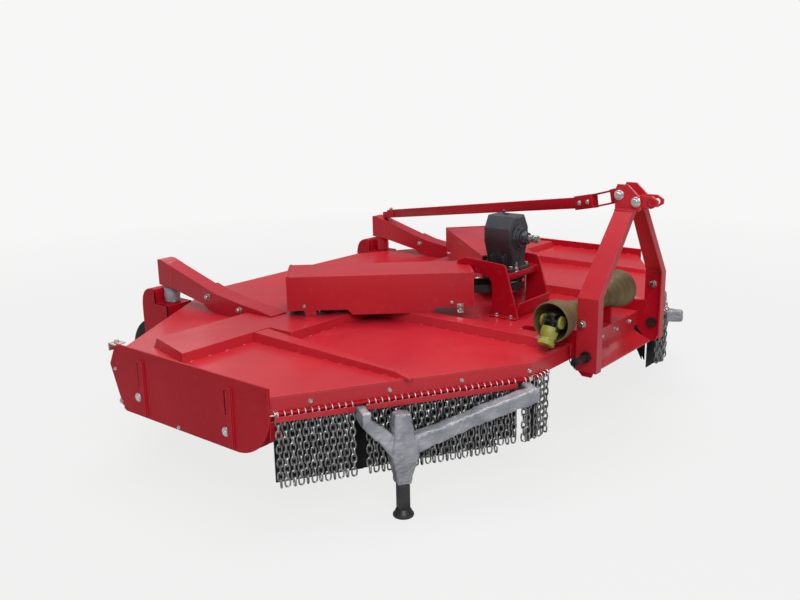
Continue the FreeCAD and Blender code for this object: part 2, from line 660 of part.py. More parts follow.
for name, side in SIDES:
    turn = belt_angle if side > 0 else 180 - belt_angle
    low = belt_low + (belt_step if side > 0 else 0.0)
    belt = new_body("belt_" + name, y=shaft_y, turn=turn)
    outside = pulley_radius + gap + belt_thick
    for step, r, cut in (("Outer", outside, False), ("Inner", pulley_radius + gap, True)):
        if cut:
            sketch = new_sketch(belt, "XY_Plane", step, low - 1)
        else:
            sketch = new_sketch(belt, "XY_Plane", step, low)
        first = sketch.GeometryCount
        run, radius = float(belt_run), float(r)
        sketch.addGeometry(Part.ArcOfCircle(Part.Circle(Vector(0, 0, 0), Vector(0, 0, 1), radius),
                                            math.pi / 2, 3 * math.pi / 2), False)
        sketch.addGeometry(Part.LineSegment(Vector(0, -radius, 0), Vector(run, -radius, 0)), False)
        sketch.addGeometry(Part.ArcOfCircle(Part.Circle(Vector(run, 0, 0), Vector(0, 0, 1), radius),
                                            -math.pi / 2, math.pi / 2), False)
        sketch.addGeometry(Part.LineSegment(Vector(run, radius, 0), Vector(0, radius, 0)), False)
        for a, pa, b, pb in ((0, 2, 1, 1), (1, 2, 2, 1), (2, 2, 3, 1), (3, 2, 0, 1)):
            sketch.addConstraint(Sketcher.Constraint("Tangent", a, pa, b, pb))
        sketch.addConstraint(Sketcher.Constraint("Coincident", 0, 3, -1, 1))
        sketch.addConstraint(Sketcher.Constraint("PointOnObject", 2, 3, -1))
        number = sketch.addConstraint(Sketcher.Constraint("Radius", 0, radius))
        sketch.setExpression("Constraints[%d]" % number, r.formula)
        bind(sketch, "DistanceX", 2, 3, belt_run)
        if cut:
            cut_to(belt, sketch, belt_wide + 2, step + "Cut", backward=True)
        else:
            pad(belt, sketch, belt_wide, step + "Pad")

    middle = (belt_run + cover_over + cover_start) * 0.5
    cover = new_body("belt_cover_" + name, x=side * middle * cos(belt_angle),
                     y=shaft_y + middle * sin(belt_angle), turn=turn + side * cover_swing)
    reach = (belt_run + cover_over - cover_start) * 0.5
    walls = new_sketch(cover, "XY_Plane", "Walls", cover_low)
    add_loop(walls, rectangle(-reach, reach, -cover_half, cover_half))
    pad(cover, walls, cover_top - cover_low, "Box")
    hollow = new_sketch(cover, "XY_Plane", "Hollow", cover_low)
    add_loop(hollow, rectangle(-reach - cover_thick, reach - cover_thick, -cover_half + cover_thick,
                               cover_half - cover_thick))
    cut_to(cover, hollow, cover_top - cover_low - cover_thick, "HollowCut", backward=True)
    seat = beam_top + gap
    overlap = cover_low + cover_thick * 2
    lip = new_sketch(cover, "XZ_Plane", "Lip", side * cover_half)
    add_loop(lip, [
        (-reach * 0.6, overlap), (-reach * 0.6, cover_low), (-reach * 0.54, seat), (reach * 0.3, seat),
        (reach * 0.36, cover_low), (reach * 0.36, overlap),
    ])
    pad(cover, lip, cover_thick, "LipPad", backward=(side > 0))
    foot = belt_run - middle
    for tag, way in (("Front", 1), ("Back", -1)):
        feet = new_sketch(cover, "XZ_Plane", tag + "Foot", way * cover_half)
        add_loop(feet, rectangle(foot - cover_foot, foot + cover_foot, seat, overlap))
        pad(cover, feet, cover_thick, tag + "FootPad", backward=(way > 0))

# ------------------------------------------------------------------ hitch and mast
hitch_x = size("hitch_x", 313, "hitch bracket's inner face from the middle")
hitch_thick = size("hitch_thick", 12, "hitch bracket plate")
hitch_pin_y = size("hitch_pin_y", -72, "lower hitch pin from the deck front")
hitch_pin_z = size("hitch_pin_z", 468, "lower hitch pin above the ground")
hitch_rear = size("hitch_rear", 280, "rear end of the hitch bracket on the deck")
pin_radius = size("pin_radius", 14, "lower hitch pin, category 2")
pin_out = size("pin_out", 95, "free length of a lower hitch pin")
pin_collar = size("pin_collar", 14, "length of a pin's collar and of its nut")
mast_top = size("mast_top", 1035, "top of the mast legs")
mast_low = size("mast_low", 400, "foot of the mast legs")
mast_bend = size("mast_bend", 712, "where the legs lean inwards")
mast_wide = size("mast_wide", 95, "mast leg's width seen from the side")
mast_deep = size("mast_deep", 42, "mast leg's depth")
mast_thick = size("mast_thick", 7, "mast leg's sheet")
head_half = size("head_half", 38, "inner face of the mast head's cheeks")
head_y = size("head_y", -88, "middle of the mast head from the deck front")
mast_y = size("mast_y", -72, "middle of the legs' feet from the deck front")
head_foot = size("head_foot", 40, "half width of the legs' upper ends, seen from the side")
collar_over = size("collar_over", 9, "pin's collar and nut beyond its stem")

ear_low = size("ear_low", 378, "lowest edge of the hitch bracket")
ear_chin = size("ear_chin", 20, "half width of the bracket's lowest edge")
bracket_high = size("bracket_high", 692, "top of the hitch bracket")
bracket_back = size("bracket_back", -30, "rear edge of the bracket's upright part")
bracket_rise = size("bracket_rise", 56, "height of the bracket's foot over the deck")

bracket_front = mast_y - mast_wide * 0.5 + ear_chin * 0.5
shoulder = mast_low + ear_chin * 1.5
for name, side in SIDES:
    bracket = plate("hitch_bracket_" + name, "YZ_Plane", [
        (0.0, deck_top + gap), (-gap, deck_top + gap), (-gap, shoulder), (hitch_pin_y + ear_chin, ear_low),
        (hitch_pin_y - ear_chin, ear_low), (bracket_front, shoulder), (bracket_front, bracket_high),
        (bracket_back, bracket_high), (bracket_back, deck_top + bracket_rise),
        (hitch_rear * 0.8, deck_top + bracket_rise * 0.7), (hitch_rear, deck_top + gap),
    ], hitch_thick, midplane=True, x=side * (hitch_x + hitch_thick * 0.5))
    hole = new_sketch(bracket, "YZ_Plane", "PinHole")
    add_circle(hole, (hitch_pin_y, hitch_pin_z), pin_radius + gap)
    cut_through(bracket, hole, "PinCut")

    # The leg is a channel whose web lies on the bracket's outer face.
    leg = new_body("mast_leg_" + name)
    web_out = hitch_x + hitch_thick + gap + mast_thick
    sections = []
    for tag, z, outer, middle, half in (("Foot", mast_low, web_out, mast_y, mast_wide * 0.5),
                                        ("Bend", mast_bend, web_out, mast_y, mast_wide * 0.5),
                                        ("Head", mast_top, head_half + mast_deep, head_y, head_foot)):
        section = new_sketch(leg, "XY_Plane", tag, z)
        out_x, in_x = side * outer, side * (outer - mast_deep)
        web_x = side * (outer - mast_thick)
        add_loop(section, [
            (out_x, middle - half), (out_x, middle + half), (web_x, middle + half),
            (web_x, middle - half + mast_thick), (in_x, middle - half + mast_thick), (in_x, middle - half),
        ])
        sections.append(section)
    loft(leg, sections, "Angle")
    hole = new_sketch(leg, "YZ_Plane", "PinHole", side * web_out)
    add_circle(hole, (hitch_pin_y, hitch_pin_z), pin_radius + gap)
    cut_to(leg, hole, mast_thick + gap, "PinCut", backward=(side < 0))

    pin = new_body("hitch_pin_" + name)
    stem = new_sketch(pin, "YZ_Plane", "Stem", side * (hitch_x - pin_collar))
    add_circle(stem, (hitch_pin_y, hitch_pin_z), pin_radius)
    pin_long = web_out - hitch_x + pin_collar * 2 + pin_out
    pad(pin, stem, pin_long, "StemPad", backward=(side < 0))
    collar = new_sketch(pin, "YZ_Plane", "Collar", side * web_out)
    add_circle(collar, (hitch_pin_y, hitch_pin_z), pin_radius + collar_over)
    pad(pin, collar, pin_collar, "CollarPad", backward=(side < 0))
    nut = new_sketch(pin, "YZ_Plane", "Nut", side * hitch_x)
    add_circle(nut, (hitch_pin_y, hitch_pin_z), pin_radius + collar_over)
    pad(pin, nut, pin_collar, "NutPad", backward=(side > 0))

# The folded lip across the deck's front edge, between the mast's legs.
lip_out = size("lip_out", 88, "front lip's reach ahead of the deck")
lip_low = size("lip_low", 388, "front lip's lower edge above the ground")
lip_fold = size("lip_fold", 36, "height of the lip's slope")
lip_thick = size("lip_thick", 5, "front lip's sheet")
plate("front_lip", "YZ_Plane", [
    (-gap, deck_top), (-gap - lip_thick, deck_top), (-gap - lip_thick, lip_low + lip_fold + lip_thick),
    (-lip_out, lip_low + lip_thick), (-lip_out, lip_low), (-gap, lip_low + lip_fold),
], (hitch_x - gap - mast_deep) * 2, midplane=True)

# The mast head: two cheeks on top of the legs, joined by the brace's pin.
head_thick = size("head_thick", 10, "mast head's cheeks")
head_high = size("head_high", 108, "mast head above the legs")
brace_pin_y = size("brace_pin_y", -52, "brace's pin from the deck front")
brace_pin_z = size("brace_pin_z", 1098, "brace's pin above the ground")
rocker_pin_z = size("rocker_pin_z", 1074, "top link bracket's pivot above the ground")
head_pin = size("head_pin", 12, "pins in the mast head")
head_pin_out = size("head_pin_out", 16, "pins beyond the cheeks")
cap_plate = size("cap_plate", 8, "plate between the legs and the head")

cheek_foot = size("cheek_foot", 52, "half width of a cheek's foot")
cheek_crown = size("cheek_crown", 46, "rear of a cheek's top from the head's middle")
cheek_corner = size("cheek_corner", 30, "cut of a cheek's top corner")
cheek_nose = size("cheek_nose", 20, "cheek ahead of the top link bracket's pivot")

body = new_body("mast_head")
head_front = rocker_pin_y - cheek_nose
head_top = mast_top + head_high
for tag, way in (("Right", 1), ("Left", -1)):
    cheek = new_sketch(body, "YZ_Plane", tag + "Cheek", way * head_half)
    add_loop(cheek, [
        (head_y - cheek_foot, mast_top), (head_y + cheek_foot, mast_top),
        (head_y + cheek_crown + head_thick, head_top - cheek_corner), (head_y + cheek_crown, head_top),
        (head_y, head_top), (head_front, mast_top + head_high * 0.5), (head_front, mast_top + head_thick),
    ])
    pad(body, cheek, head_thick, tag + "Plate", backward=(way < 0))
pin_half = head_half + head_thick + head_pin_out
for tag, y, z in (("Brace", brace_pin_y, brace_pin_z), ("Rocker", rocker_pin_y, rocker_pin_z)):
    pin = new_sketch(body, "YZ_Plane", tag + "Pin", -pin_half)
    add_circle(pin, (y, z), head_pin)
    pad(body, pin, pin_half * 2, tag + "PinPad")
foot = new_sketch(body, "XY_Plane", "CapPlate", mast_top)
cap_half = head_half + mast_deep
add_loop(foot, rectangle(-cap_half, cap_half, head_y - head_foot, head_y + head_foot))
pad(body, foot, cap_plate, "CapPad")

# The floating top link bracket: two ears that rock on the mast head's front pin.
# Their front holes are empty, because the tractor's own top link brings its pin.
ear_thick = size("ear_thick", 10, "top link bracket's ears")
link_hole = size("link_hole", 12.75, "top link hole's radius, for a category 2 pin")
link_gap = size("link_gap", 46, "free width between the ears")
ear_back = size("ear_back", 22, "ears behind their pivot")
ear_half = size("ear_half", 26, "ears' half height at the top link hole")
ear_end = size("ear_end", 10, "half height of the ears' ends")
sleeve_thick = size("sleeve_thick", 6, "wall of the bracket's sleeve")
body = new_body("top_link_bracket", y=rocker_pin_y, z=rocker_pin_z)
for tag, way in (("Right", 1), ("Left", -1)):
    ear = new_sketch(body, "YZ_Plane", tag + "Ear", way * link_gap * 0.5)
    add_loop(ear, [
        (ear_back, -ear_end), (ear_back, ear_end), (ear_end, ear_half), (-link_reach, ear_half),
        (-link_reach - ear_nose, ear_end), (-link_reach - ear_nose, -ear_end), (-link_reach, -ear_half),
        (ear_end, -ear_back),
    ])
    add_circle(ear, (-link_reach, 0.0), link_hole)
    add_circle(ear, (0.0, 0.0), head_pin + running)
    pad(body, ear, ear_thick, tag + "EarPlate", backward=(way < 0))
sleeve = new_sketch(body, "YZ_Plane", "Sleeve", -link_gap * 0.5)
add_circle(sleeve, (0.0, 0.0), head_pin + sleeve_thick)
add_circle(sleeve, (0.0, 0.0), head_pin + running)
pad(body, sleeve, link_gap, "SleevePad")

# ------------------------------------------------------------------ rear arms and casters
arm_x = size("arm_x", 830, "rear arms from the middle")
arm_half = size("arm_half", 34, "rear arm tube's half width")
arm_low = size("arm_low", 582, "rear arm's underside above the ground")
arm_front = size("arm_front", 1205, "rear arm's front end")
arm_wall = size("arm_wall", 6, "rear arm tube's wall")
post_radius = size("post_radius", 38, "caster tube's outside")
post_top = size("post_top", 712, "caster tube's upper end")
stem_radius = size("stem_radius", 22, "caster stem")
cheek_front = size("cheek_front", 1385, "front of the rear arm bracket")
cheek_rear = size("cheek_rear", 1755, "rear of the rear arm bracket")
cheek_thick = size("cheek_thick", 8, "rear arm bracket's cheeks")
gusset_step = size("gusset_step", 18, "caster tube above its gusset")
gusset_thick = size("gusset_thick", 40, "gusset between the arm and its caster tube")
gusset_long = size("gusset_long", 200, "gusset's length along the arm")
gusset_head = size("gusset_head", 50, "gusset's length at its top")
cheek_cut = size("cheek_cut", 30, "cut of the cheeks' upper corners")
stem_play = size("stem_play", 6, "free height above the caster stem")

arm_top = arm_low + 2 * arm_half
cheek_top = arm_low + arm_half * 1.5
for name, side in SIDES:
    bracket = new_body("arm_bracket_" + name, x=side * arm_x)
    for tag, way in (("Right", 1), ("Left", -1)):
        cheek = new_sketch(bracket, "YZ_Plane", tag + "Cheek", way * (arm_half + gap))
        add_loop(cheek, [
            (cheek_front, deck_top), (cheek_rear, deck_top), (cheek_rear, arm_low),
            (cheek_rear - cheek_cut, cheek_top), (cheek_front + cheek_cut, cheek_top), (cheek_front, arm_low),
        ])
        pad(bracket, cheek, cheek_thick, tag + "Plate", backward=(way < 0))
    floor = new_sketch(bracket, "XY_Plane", "Floor", deck_top)
    add_loop(floor, rectangle(-arm_half - gap, arm_half + gap,
                              cheek_front + cheek_cut, cheek_rear - cheek_cut))
    pad(bracket, floor, cheek_thick, "FloorPad")

    arm = new_body("rear_arm_" + name, x=side * arm_x)
    tube_end = caster_y - post_radius * 0.5
    tube = new_sketch(arm, "XZ_Plane", "Tube", -tube_end)
    add_loop(tube, rectangle(-arm_half, arm_half, arm_low, arm_top))
    add_loop(tube, rectangle(-arm_half + arm_wall, arm_half - arm_wall,
                             arm_low + arm_wall, arm_top - arm_wall))
    pad(arm, tube, tube_end - arm_front, "TubePad")
    post = new_sketch(arm, "XY_Plane", "Post", arm_low)
    add_circle(post, (0.0, caster_y), post_radius)
    pad(arm, post, post_top - arm_low, "PostPad")
    gusset = new_sketch(arm, "YZ_Plane", "Gusset")
    gusset_rear = caster_y - post_radius * 0.7
    add_loop(gusset, [
        (gusset_rear - gusset_long, arm_top - arm_wall), (gusset_rear, arm_top - arm_wall),
        (gusset_rear, post_top - gusset_step), (gusset_rear - gusset_head, post_top - gusset_step),
    ])
    pad(arm, gusset, gusset_thick, "GussetPad", midplane=True)
    bore = new_sketch(arm, "XY_Plane", "StemBore", arm_low - stem_play)
    add_circle(bore, (0.0, caster_y), stem_radius + running)
    cut_to(arm, bore, post_top - arm_low + stem_play * 2, "StemCut", backward=True)

wheel_half = size("wheel_half", 60, "rear tyre's half width")
fork_half = size("fork_half", 70, "inner face of the fork's sides")
fork_thick = size("fork_thick", 10, "fork's sides")
hub_half = size("hub_half", 65, "hub's half length")
hub_wall = size("hub_wall", 18, "hub's wall")
rim_half = size("rim_half", 52, "rim's half width")
rim_share = size("rim_share", 0.56, "rim's radius, as a share of the wheel's")
rim_thick = size("rim_thick", 9, "rim's band")
disc_out = size("disc_out", 10, "outer face of the wheel's disc from its middle")
disc_in = size("disc_in", 2, "inner face of the wheel's disc from its middle")
tyre_bevel = size("tyre_bevel", 10, "tyre's bevelled shoulders")
fork_front = size("fork_front", 48, "fork's hood ahead of the swivel axis")
hood_top = size("hood_top", 572, "fork's hood above the ground")
hood_low = size("hood_low", 432, "lower edge of the hood")
hood_thick = size("hood_thick", 9, "hood's sheet")
hood_back = size("hood_back", 182, "hood behind the swivel axis")
hood_flat = size("hood_flat", 62, "end of the hood's flat top")
axle_radius = size("axle_radius", 14, "wheel axle")
axle_over = size("axle_over", 12, "axle beyond the fork's sides")
lug_half = size("lug_half", 28, "half width of a fork side at the axle")

for name, side in SIDES:
    fork = new_body("caster_fork_" + name, x=side * arm_x, y=caster_y)
    stem = new_sketch(fork, "XY_Plane", "Stem", hood_top)
    add_circle(stem, (0.0, 0.0), stem_radius)
    pad(fork, stem, post_top - stem_play * 5 - hood_top, "StemPad")
    collar = new_sketch(fork, "XY_Plane", "Collar", hood_top)
    add_circle(collar, (0.0, 0.0), post_radius)
    pad(fork, collar, arm_low - gap - hood_top, "CollarPad")
    # The hood's outline falls in five straight bends from its flat top to its rear edge.
    bends = []
    for degrees in (90, 67, 45, 22, 0):
        reach_y = (hood_back - hood_flat) * cos(degrees)
        reach_z = (hood_top - hood_low) * sin(degrees)
        bends.append((hood_flat + reach_y, hood_low + reach_z, degrees))
    outer_bends = [(y, z) for y, z, degrees in bends]
    inner_bends = [(y - hood_thick * cos(degrees), z - hood_thick * sin(degrees)) for y, z, degrees in bends]
    hood = new_sketch(fork, "YZ_Plane", "Hood")
    add_loop(hood, [(-fork_front, hood_top)] + outer_bends + inner_bends[::-1]
             + [(hood_thick - fork_front, hood_top - hood_thick), (hood_thick - fork_front, hood_low),
                (-fork_front, hood_low)])
    pad(fork, hood, fork_half * 2, "HoodPad", midplane=True)
    lug_low = wheel_radius - lug_half
    for tag, way in (("Right", 1), ("Left", -1)):
        cheek = new_sketch(fork, "YZ_Plane", tag + "Side", way * fork_half)
        add_loop(cheek, [(-fork_front, hood_low), (-fork_front, hood_top)] + outer_bends
                 + [(trail + lug_half, lug_low), (trail - lug_half, lug_low)])
        pad(fork, cheek, fork_thick, tag + "SidePad", backward=(way < 0))
    axle_half = fork_half + fork_thick + axle_over
    axle = new_sketch(fork, "YZ_Plane", "Axle", -axle_half)
    add_circle(axle, (trail, wheel_radius), axle_radius)
    pad(fork, axle, axle_half * 2, "AxlePad")

    rim = new_body("wheel_rim_" + name, x=side * arm_x, y=caster_y + trail, z=wheel_radius)
    profile = new_sketch(rim, "XY_Plane", "Profile")
    bore_r = axle_radius + running
    seat = wheel_radius * rim_share
    add_loop(profile, [
        (-hub_half, bore_r), (hub_half, bore_r), (hub_half, bore_r + hub_wall), (disc_out, bore_r + hub_wall),
        (disc_out, seat - rim_thick), (rim_half, seat - rim_thick), (rim_half, seat), (-rim_half, seat),
        (-rim_half, seat - rim_thick), (disc_in, seat - rim_thick), (disc_in, bore_r + hub_wall),
        (-hub_half, bore_r + hub_wall),
    ])
    revolve(rim, profile, "Turning", "H_Axis")
    tyre = new_body("tyre_" + name, x=side * arm_x, y=caster_y + trail, z=wheel_radius)
    profile = new_sketch(tyre, "XY_Plane", "Profile")
    bead = seat + gap
    bead_half, shoulder_half = wheel_half - tyre_bevel, wheel_half - tyre_bevel * 1.2
    add_loop(profile, [
        (-bead_half, bead), (bead_half, bead), (wheel_half, wheel_radius * 0.82),
        (shoulder_half, wheel_radius * 0.965), (wheel_half * 0.4, wheel_radius),
        (-wheel_half * 0.4, wheel_radius), (-shoulder_half, wheel_radius * 0.965),
        (-wheel_half, wheel_radius * 0.82),
    ])
    revolve(tyre, profile, "Turning", "H_Axis")

# ------------------------------------------------------------------ brace
brace_half = size("brace_half", 20, "brace's half width")
brace_deep = size("brace_deep", 25, "brace's half depth at the mast")
strap_front = size("strap_front", 0, "start of the brace's straps")
strap_back = size("strap_back", 118, "end of the brace's straps")
block_back = size("block_back", 215, "rear end of the brace's block")
strap_plate = size("strap_plate", 9, "brace's straps")
strap_in = size("strap_in", 2, "straps inside the block's faces")
block_over = size("block_over", 6, "brace's block beyond its bar")

brace_end_y = caster_y - post_radius - gap
brace_rear_z = post_top - gusset_step + brace_deep + gap
body = new_body("brace")


def on_brace(y):
    """Middle of the brace at a distance y from the deck front."""
    share = (y - brace_pin_y) / (brace_end_y - brace_pin_y)
    return arm_x * share, brace_pin_z + (brace_rear_z - brace_pin_z) * share


def brace_section(name, y, half_x, low, high):
    x, z = on_brace(y)
    sketch = new_sketch(body, "XZ_Plane", name, -y)
    add_loop(sketch, rectangle(x - half_x, x + half_x, z + low, z + high))
    return sketch


for tag, first, last, low, high in (
        ("Front", brace_pin_y + head_pin + gap, strap_front, -brace_deep, brace_deep),
        ("Upper", strap_front, strap_back, brace_deep - strap_in - strap_plate, brace_deep - strap_in),
        ("Lower", strap_front, strap_back, strap_in - brace_deep, strap_in + strap_plate - brace_deep),
        ("Block", strap_back, block_back, -brace_deep - block_over, brace_deep + block_over)):
    loft(body, [brace_section(tag + "Start", first, brace_half, low, high),
                brace_section(tag + "End", last, brace_half, low, high)], tag + "Loft")
loft(body, [brace_section("BarStart", block_back, brace_half * 0.8, -brace_deep, brace_deep),
            brace_section("BarEnd", brace_end_y, brace_half * 0.7, -brace_deep, 0.0)], "Bar")

# ------------------------------------------------------------------ front stands and parking legs
leg_x = size("leg_x", 1117, "parking leg from the middle")
socket_half = size("socket_half", 40, "leg socket's half width")
socket_out = size("socket_out", 62, "leg's middle ahead of the deck's edge")
socket_low = size("socket_low", 135, "leg socket's lower end")
socket_top = size("socket_top", 405, "leg socket's upper end")
leg_half = size("leg_half", 30, "parking leg's half width")
leg_top = size("leg_top", 345, "parking leg's upper end")
foot_radius = size("foot_radius", 50, "parking leg's round foot")
foot_high = size("foot_high", 26, "height of the foot's flare")
foot_rim = size("foot_rim", 9, "foot's upright rim")
arm_reach = size("arm_reach", 600, "stand's long arm, towards the hitch")
short_reach = size("short_reach", 156, "stand's short arm, towards the side")
arm_far = size("arm_far", 408, "far ends of the stand's arms above the ground")
arm_root = size("arm_root", 285, "stand arms' roots above the ground")
arm_deep = size("arm_deep", 28, "stand arms' half depth")
hook_wide = size("hook_wide", 34, "stand's hooks, seen from the front")
hook_in = size("hook_in", 34, "hook's upright part behind the deck's edge")
hook_back = size("hook_back", 78, "hook's rear face behind the deck's edge")

leg_line_y = (deck_half - leg_x) * tan(front_angle)
bore_half = leg_half + gap
arm_front_y = -socket_out - arm_deep
arm_rear_y = -socket_out + arm_deep
for name, side in SIDES:
    turn = front_angle * side
    where = dict(x=side * leg_x, y=side_front - leg_line_y, turn=turn)
    stand = new_body("front_stand_" + name, **where)
    socket = new_sketch(stand, "XY_Plane", "Socket", socket_low)
    add_loop(socket, rectangle(-socket_half, socket_half,
                               -socket_out - socket_half, -socket_out + socket_half))
    add_loop(socket, rectangle(-bore_half, bore_half, -socket_out - bore_half, -socket_out + bore_half))
    pad(stand, socket, socket_top - socket_low, "SocketPad")
    # Each arm ends in a hook that passes below the skirt and up to the deck behind it.
    for tag, way, reach in (("Long", -side, arm_reach), ("Short", side, short_reach)):
        near = new_sketch(stand, "YZ_Plane", tag + "Near", way * (socket_half - leg_half * 0.1))
        away = new_sketch(stand, "YZ_Plane", tag + "Far", way * reach)
        add_loop(near, rectangle(arm_front_y, arm_rear_y, arm_root - arm_deep, arm_root + arm_deep))
        add_loop(away, rectangle(arm_front_y, arm_rear_y, arm_far - arm_deep, arm_far + arm_deep))
        loft(stand, [near, away], tag + "Arm")
        hook = new_sketch(stand, "YZ_Plane", tag + "Hook", way * reach)
        add_loop(hook, [
            (arm_front_y, arm_far - arm_deep), (hook_back, arm_far - arm_deep), (hook_back, deck_under),
            (hook_in, deck_under), (hook_in, arm_far + arm_deep), (arm_front_y, arm_far + arm_deep),
        ])
        pad(stand, hook, hook_wide, tag + "HookPad", backward=(way > 0))
    leg = new_body("parking_leg_" + name, **where)
    tube = new_sketch(leg, "XY_Plane", "Tube", foot_high - foot_rim)
    add_loop(tube, rectangle(-leg_half, leg_half, -socket_out - leg_half, -socket_out + leg_half))
    pad(leg, tube, leg_top - foot_high + foot_rim, "TubePad")
    profile = new_sketch(leg, "XY_Plane", "Foot")
    add_circle(profile, (0.0, -socket_out), foot_radius)
    pad(leg, profile, foot_rim, "FootPad")
    flare = foot_radius * 0.68
    sole = new_sketch(leg, "XY_Plane", "FlareLow", foot_rim)
    add_loop(sole, rectangle(-flare, flare, -socket_out - flare, -socket_out + flare))
    ankle = new_sketch(leg, "XY_Plane", "FlareHigh", foot_high)
    add_loop(ankle, rectangle(-leg_half, leg_half, -socket_out - leg_half, -socket_out + leg_half))
    loft(leg, [sole, ankle], "Flare")

# ------------------------------------------------------------------ chain rods and curtains
rod_radius = size("rod_radius", 7, "chain rod")
rod_drop = size("rod_drop", 58, "chain rod below the deck")
rod_out = size("rod_out", 7.3, "chain rod ahead of the skirt")
chain_low = size("chain_low", 140, "lowest chain link above the ground")
chain_thick = size("chain_thick", 10, "chain curtain's thickness")
chain_split = size("chain_split", 4, "space between two blocks of chain")
rod_short = size("rod_short", 20, "rod's ends inside its skirt")
rise_near = size("rise_near", 20, "second chain block's lower edge above the first")
rise_far = size("rise_far", 50, "third chain block's lower edge above the first")
rise_end = size("rise_end", 75, "last chain block's lower edge above the first")
sweep_run = hypotenuse(deck_half - front_half, side_front)
rod_z = deck_under - rod_drop

for name, side in SIDES:
    where = dict(x=side * deck_half, y=side_front, turn=front_angle * side)
    rod = new_body("chain_rod_" + name, **where)
    bar = new_sketch(rod, "YZ_Plane", "Rod", -side * rod_short)
    add_circle(bar, (-rod_out, rod_z), rod_radius)
    pad(rod, bar, sweep_run - rod_short * 2, "RodPad", backward=(side > 0))
    chain = new_body("chain_" + name, **where)
    block = new_sketch(chain, "XZ_Plane", "Blocks", rod_out - chain_thick * 0.5)
    top = rod_z - rod_radius - gap
    # Shares of the skirt's length, from the side plate, at which the blocks start and end.
    for first, last, rise in ((0.02, 0.306, 0.0), (0.344, 0.64, rise_near), (0.64, 0.934, rise_far),
                              (0.955, 0.995, rise_end)):
        ends = [-side * sweep_run * first, -side * (sweep_run * last - chain_split)]
        add_loop(block, rectangle(min(ends), max(ends), chain_low + rise, top))
    pad(chain, block, chain_thick, "BlockPads")

rear_chain_half = size("rear_chain_half", 400, "half of the rear chain curtain")
rear_rod_up = size("rear_rod_up", 6, "rear rod above the rear skirt's lower edge")
rear_rod_z = deck_under - rear_skirt_drop + rear_rod_up
rod = new_body("chain_rod_rear", y=deck_depth)
bar = new_sketch(rod, "YZ_Plane", "Rod", -rear_chain_half - rod_short)
add_circle(bar, (rod_out, rear_rod_z), rod_radius)
pad(rod, bar, (rear_chain_half + rod_short) * 2, "RodPad")
chain = new_body("chain_rear", y=deck_depth)
block = new_sketch(chain, "XZ_Plane", "Blocks", -rod_out - chain_thick * 0.5)
add_loop(block, rectangle(-rear_chain_half, rear_chain_half, chain_low, rear_rod_z - rod_radius - gap))
pad(chain, block, chain_thick, "BlockPads")

# ------------------------------------------------------------------ stored driveshaft
pto_y = size("pto_y", 24, "stored driveshaft from the deck front")
pto_z = size("pto_z", 628, "stored driveshaft above the ground")
pto_left = size("pto_left", -520, "stored driveshaft's left end")
pto_right = size("pto_right", 300, "stored driveshaft's right end")
cone_radius = size("cone_radius", 84, "driveshaft guard's end cone")
cone_mouth = size("cone_mouth", 70, "straight part of the end cone")
cone_long = size("cone_long", 175, "driveshaft guard's end cone")
guard_tube = size("guard_tube", 40, "driveshaft guard's tube")
guard_thick = size("guard_thick", 3, "driveshaft guard's wall")
yoke_end = size("yoke_end", 34, "yoke's radius at its end")
yoke_radius = size("yoke_radius", 44, "yoke's radius")
yoke_in = size("yoke_in", 20, "yoke's end inside its cone")
yoke_round = size("yoke_round", 40, "length of the yoke's rounded end")
yoke_long = size("yoke_long", 50, "length of the yoke's full part")
cradle_left = size("cradle_left", -120, "left post of the cradle")
cradle_right = size("cradle_right", 40, "right post of the cradle")
cradle_front = size("cradle_front", 20, "cradle's foot ahead of the driveshaft's axis")
cradle_back = size("cradle_back", 60, "cradle's foot behind the driveshaft's axis")
cradle_half = size("cradle_half", 34, "half width of the cradle's top")
cradle_thick = size("cradle_thick", 10, "cradle's posts")


def both_ends(points):
    """An outline along the driveshaft from the points at its left end, each a run in from the end."""
    left = [(pto_left + run, radius) for run, radius in points]
    right = [(pto_right - run, radius) for run, radius in points]
    return left + right[::-1]


tube_in = guard_tube - guard_thick
mouth_in = cone_radius - guard_thick
guard = new_body("driveshaft_guard", y=pto_y, z=pto_z)
profile = new_sketch(guard, "XY_Plane", "Profile")
outside = both_ends([(0.0, cone_radius), (cone_mouth, cone_radius), (cone_long, guard_tube)])
inside = both_ends([(0.0, mouth_in), (cone_mouth, mouth_in), (cone_long, tube_in)])
add_loop(profile, outside + inside[::-1])
revolve(guard, profile, "Turning", "H_Axis")

yokes = new_body("driveshaft", y=pto_y, z=pto_z)
profile = new_sketch(yokes, "XY_Plane", "Profile")
yoke_stop = yoke_in + yoke_round + yoke_long
add_loop(profile, both_ends([
    (yoke_in, 0.0), (yoke_in, yoke_end), (yoke_in + yoke_round, yoke_radius), (yoke_stop, yoke_radius),
    (yoke_stop + yoke_in, tube_in - gap),
]))
revolve(yokes, profile, "Turning", "H_Axis")

cradle = new_body("driveshaft_cradle")
for tag, x in (("Left", cradle_left), ("Right", cradle_right)):
    post = new_sketch(cradle, "YZ_Plane", tag + "Post", x)
    seat_z = pto_z - guard_tube - gap
    add_loop(post, [
        (pto_y - cradle_front, deck_top), (pto_y + cradle_back, deck_top), (pto_y + cradle_half, seat_z),
        (pto_y - cradle_front, seat_z),
    ])
    pad(cradle, post, cradle_thick, tag + "PostPad")

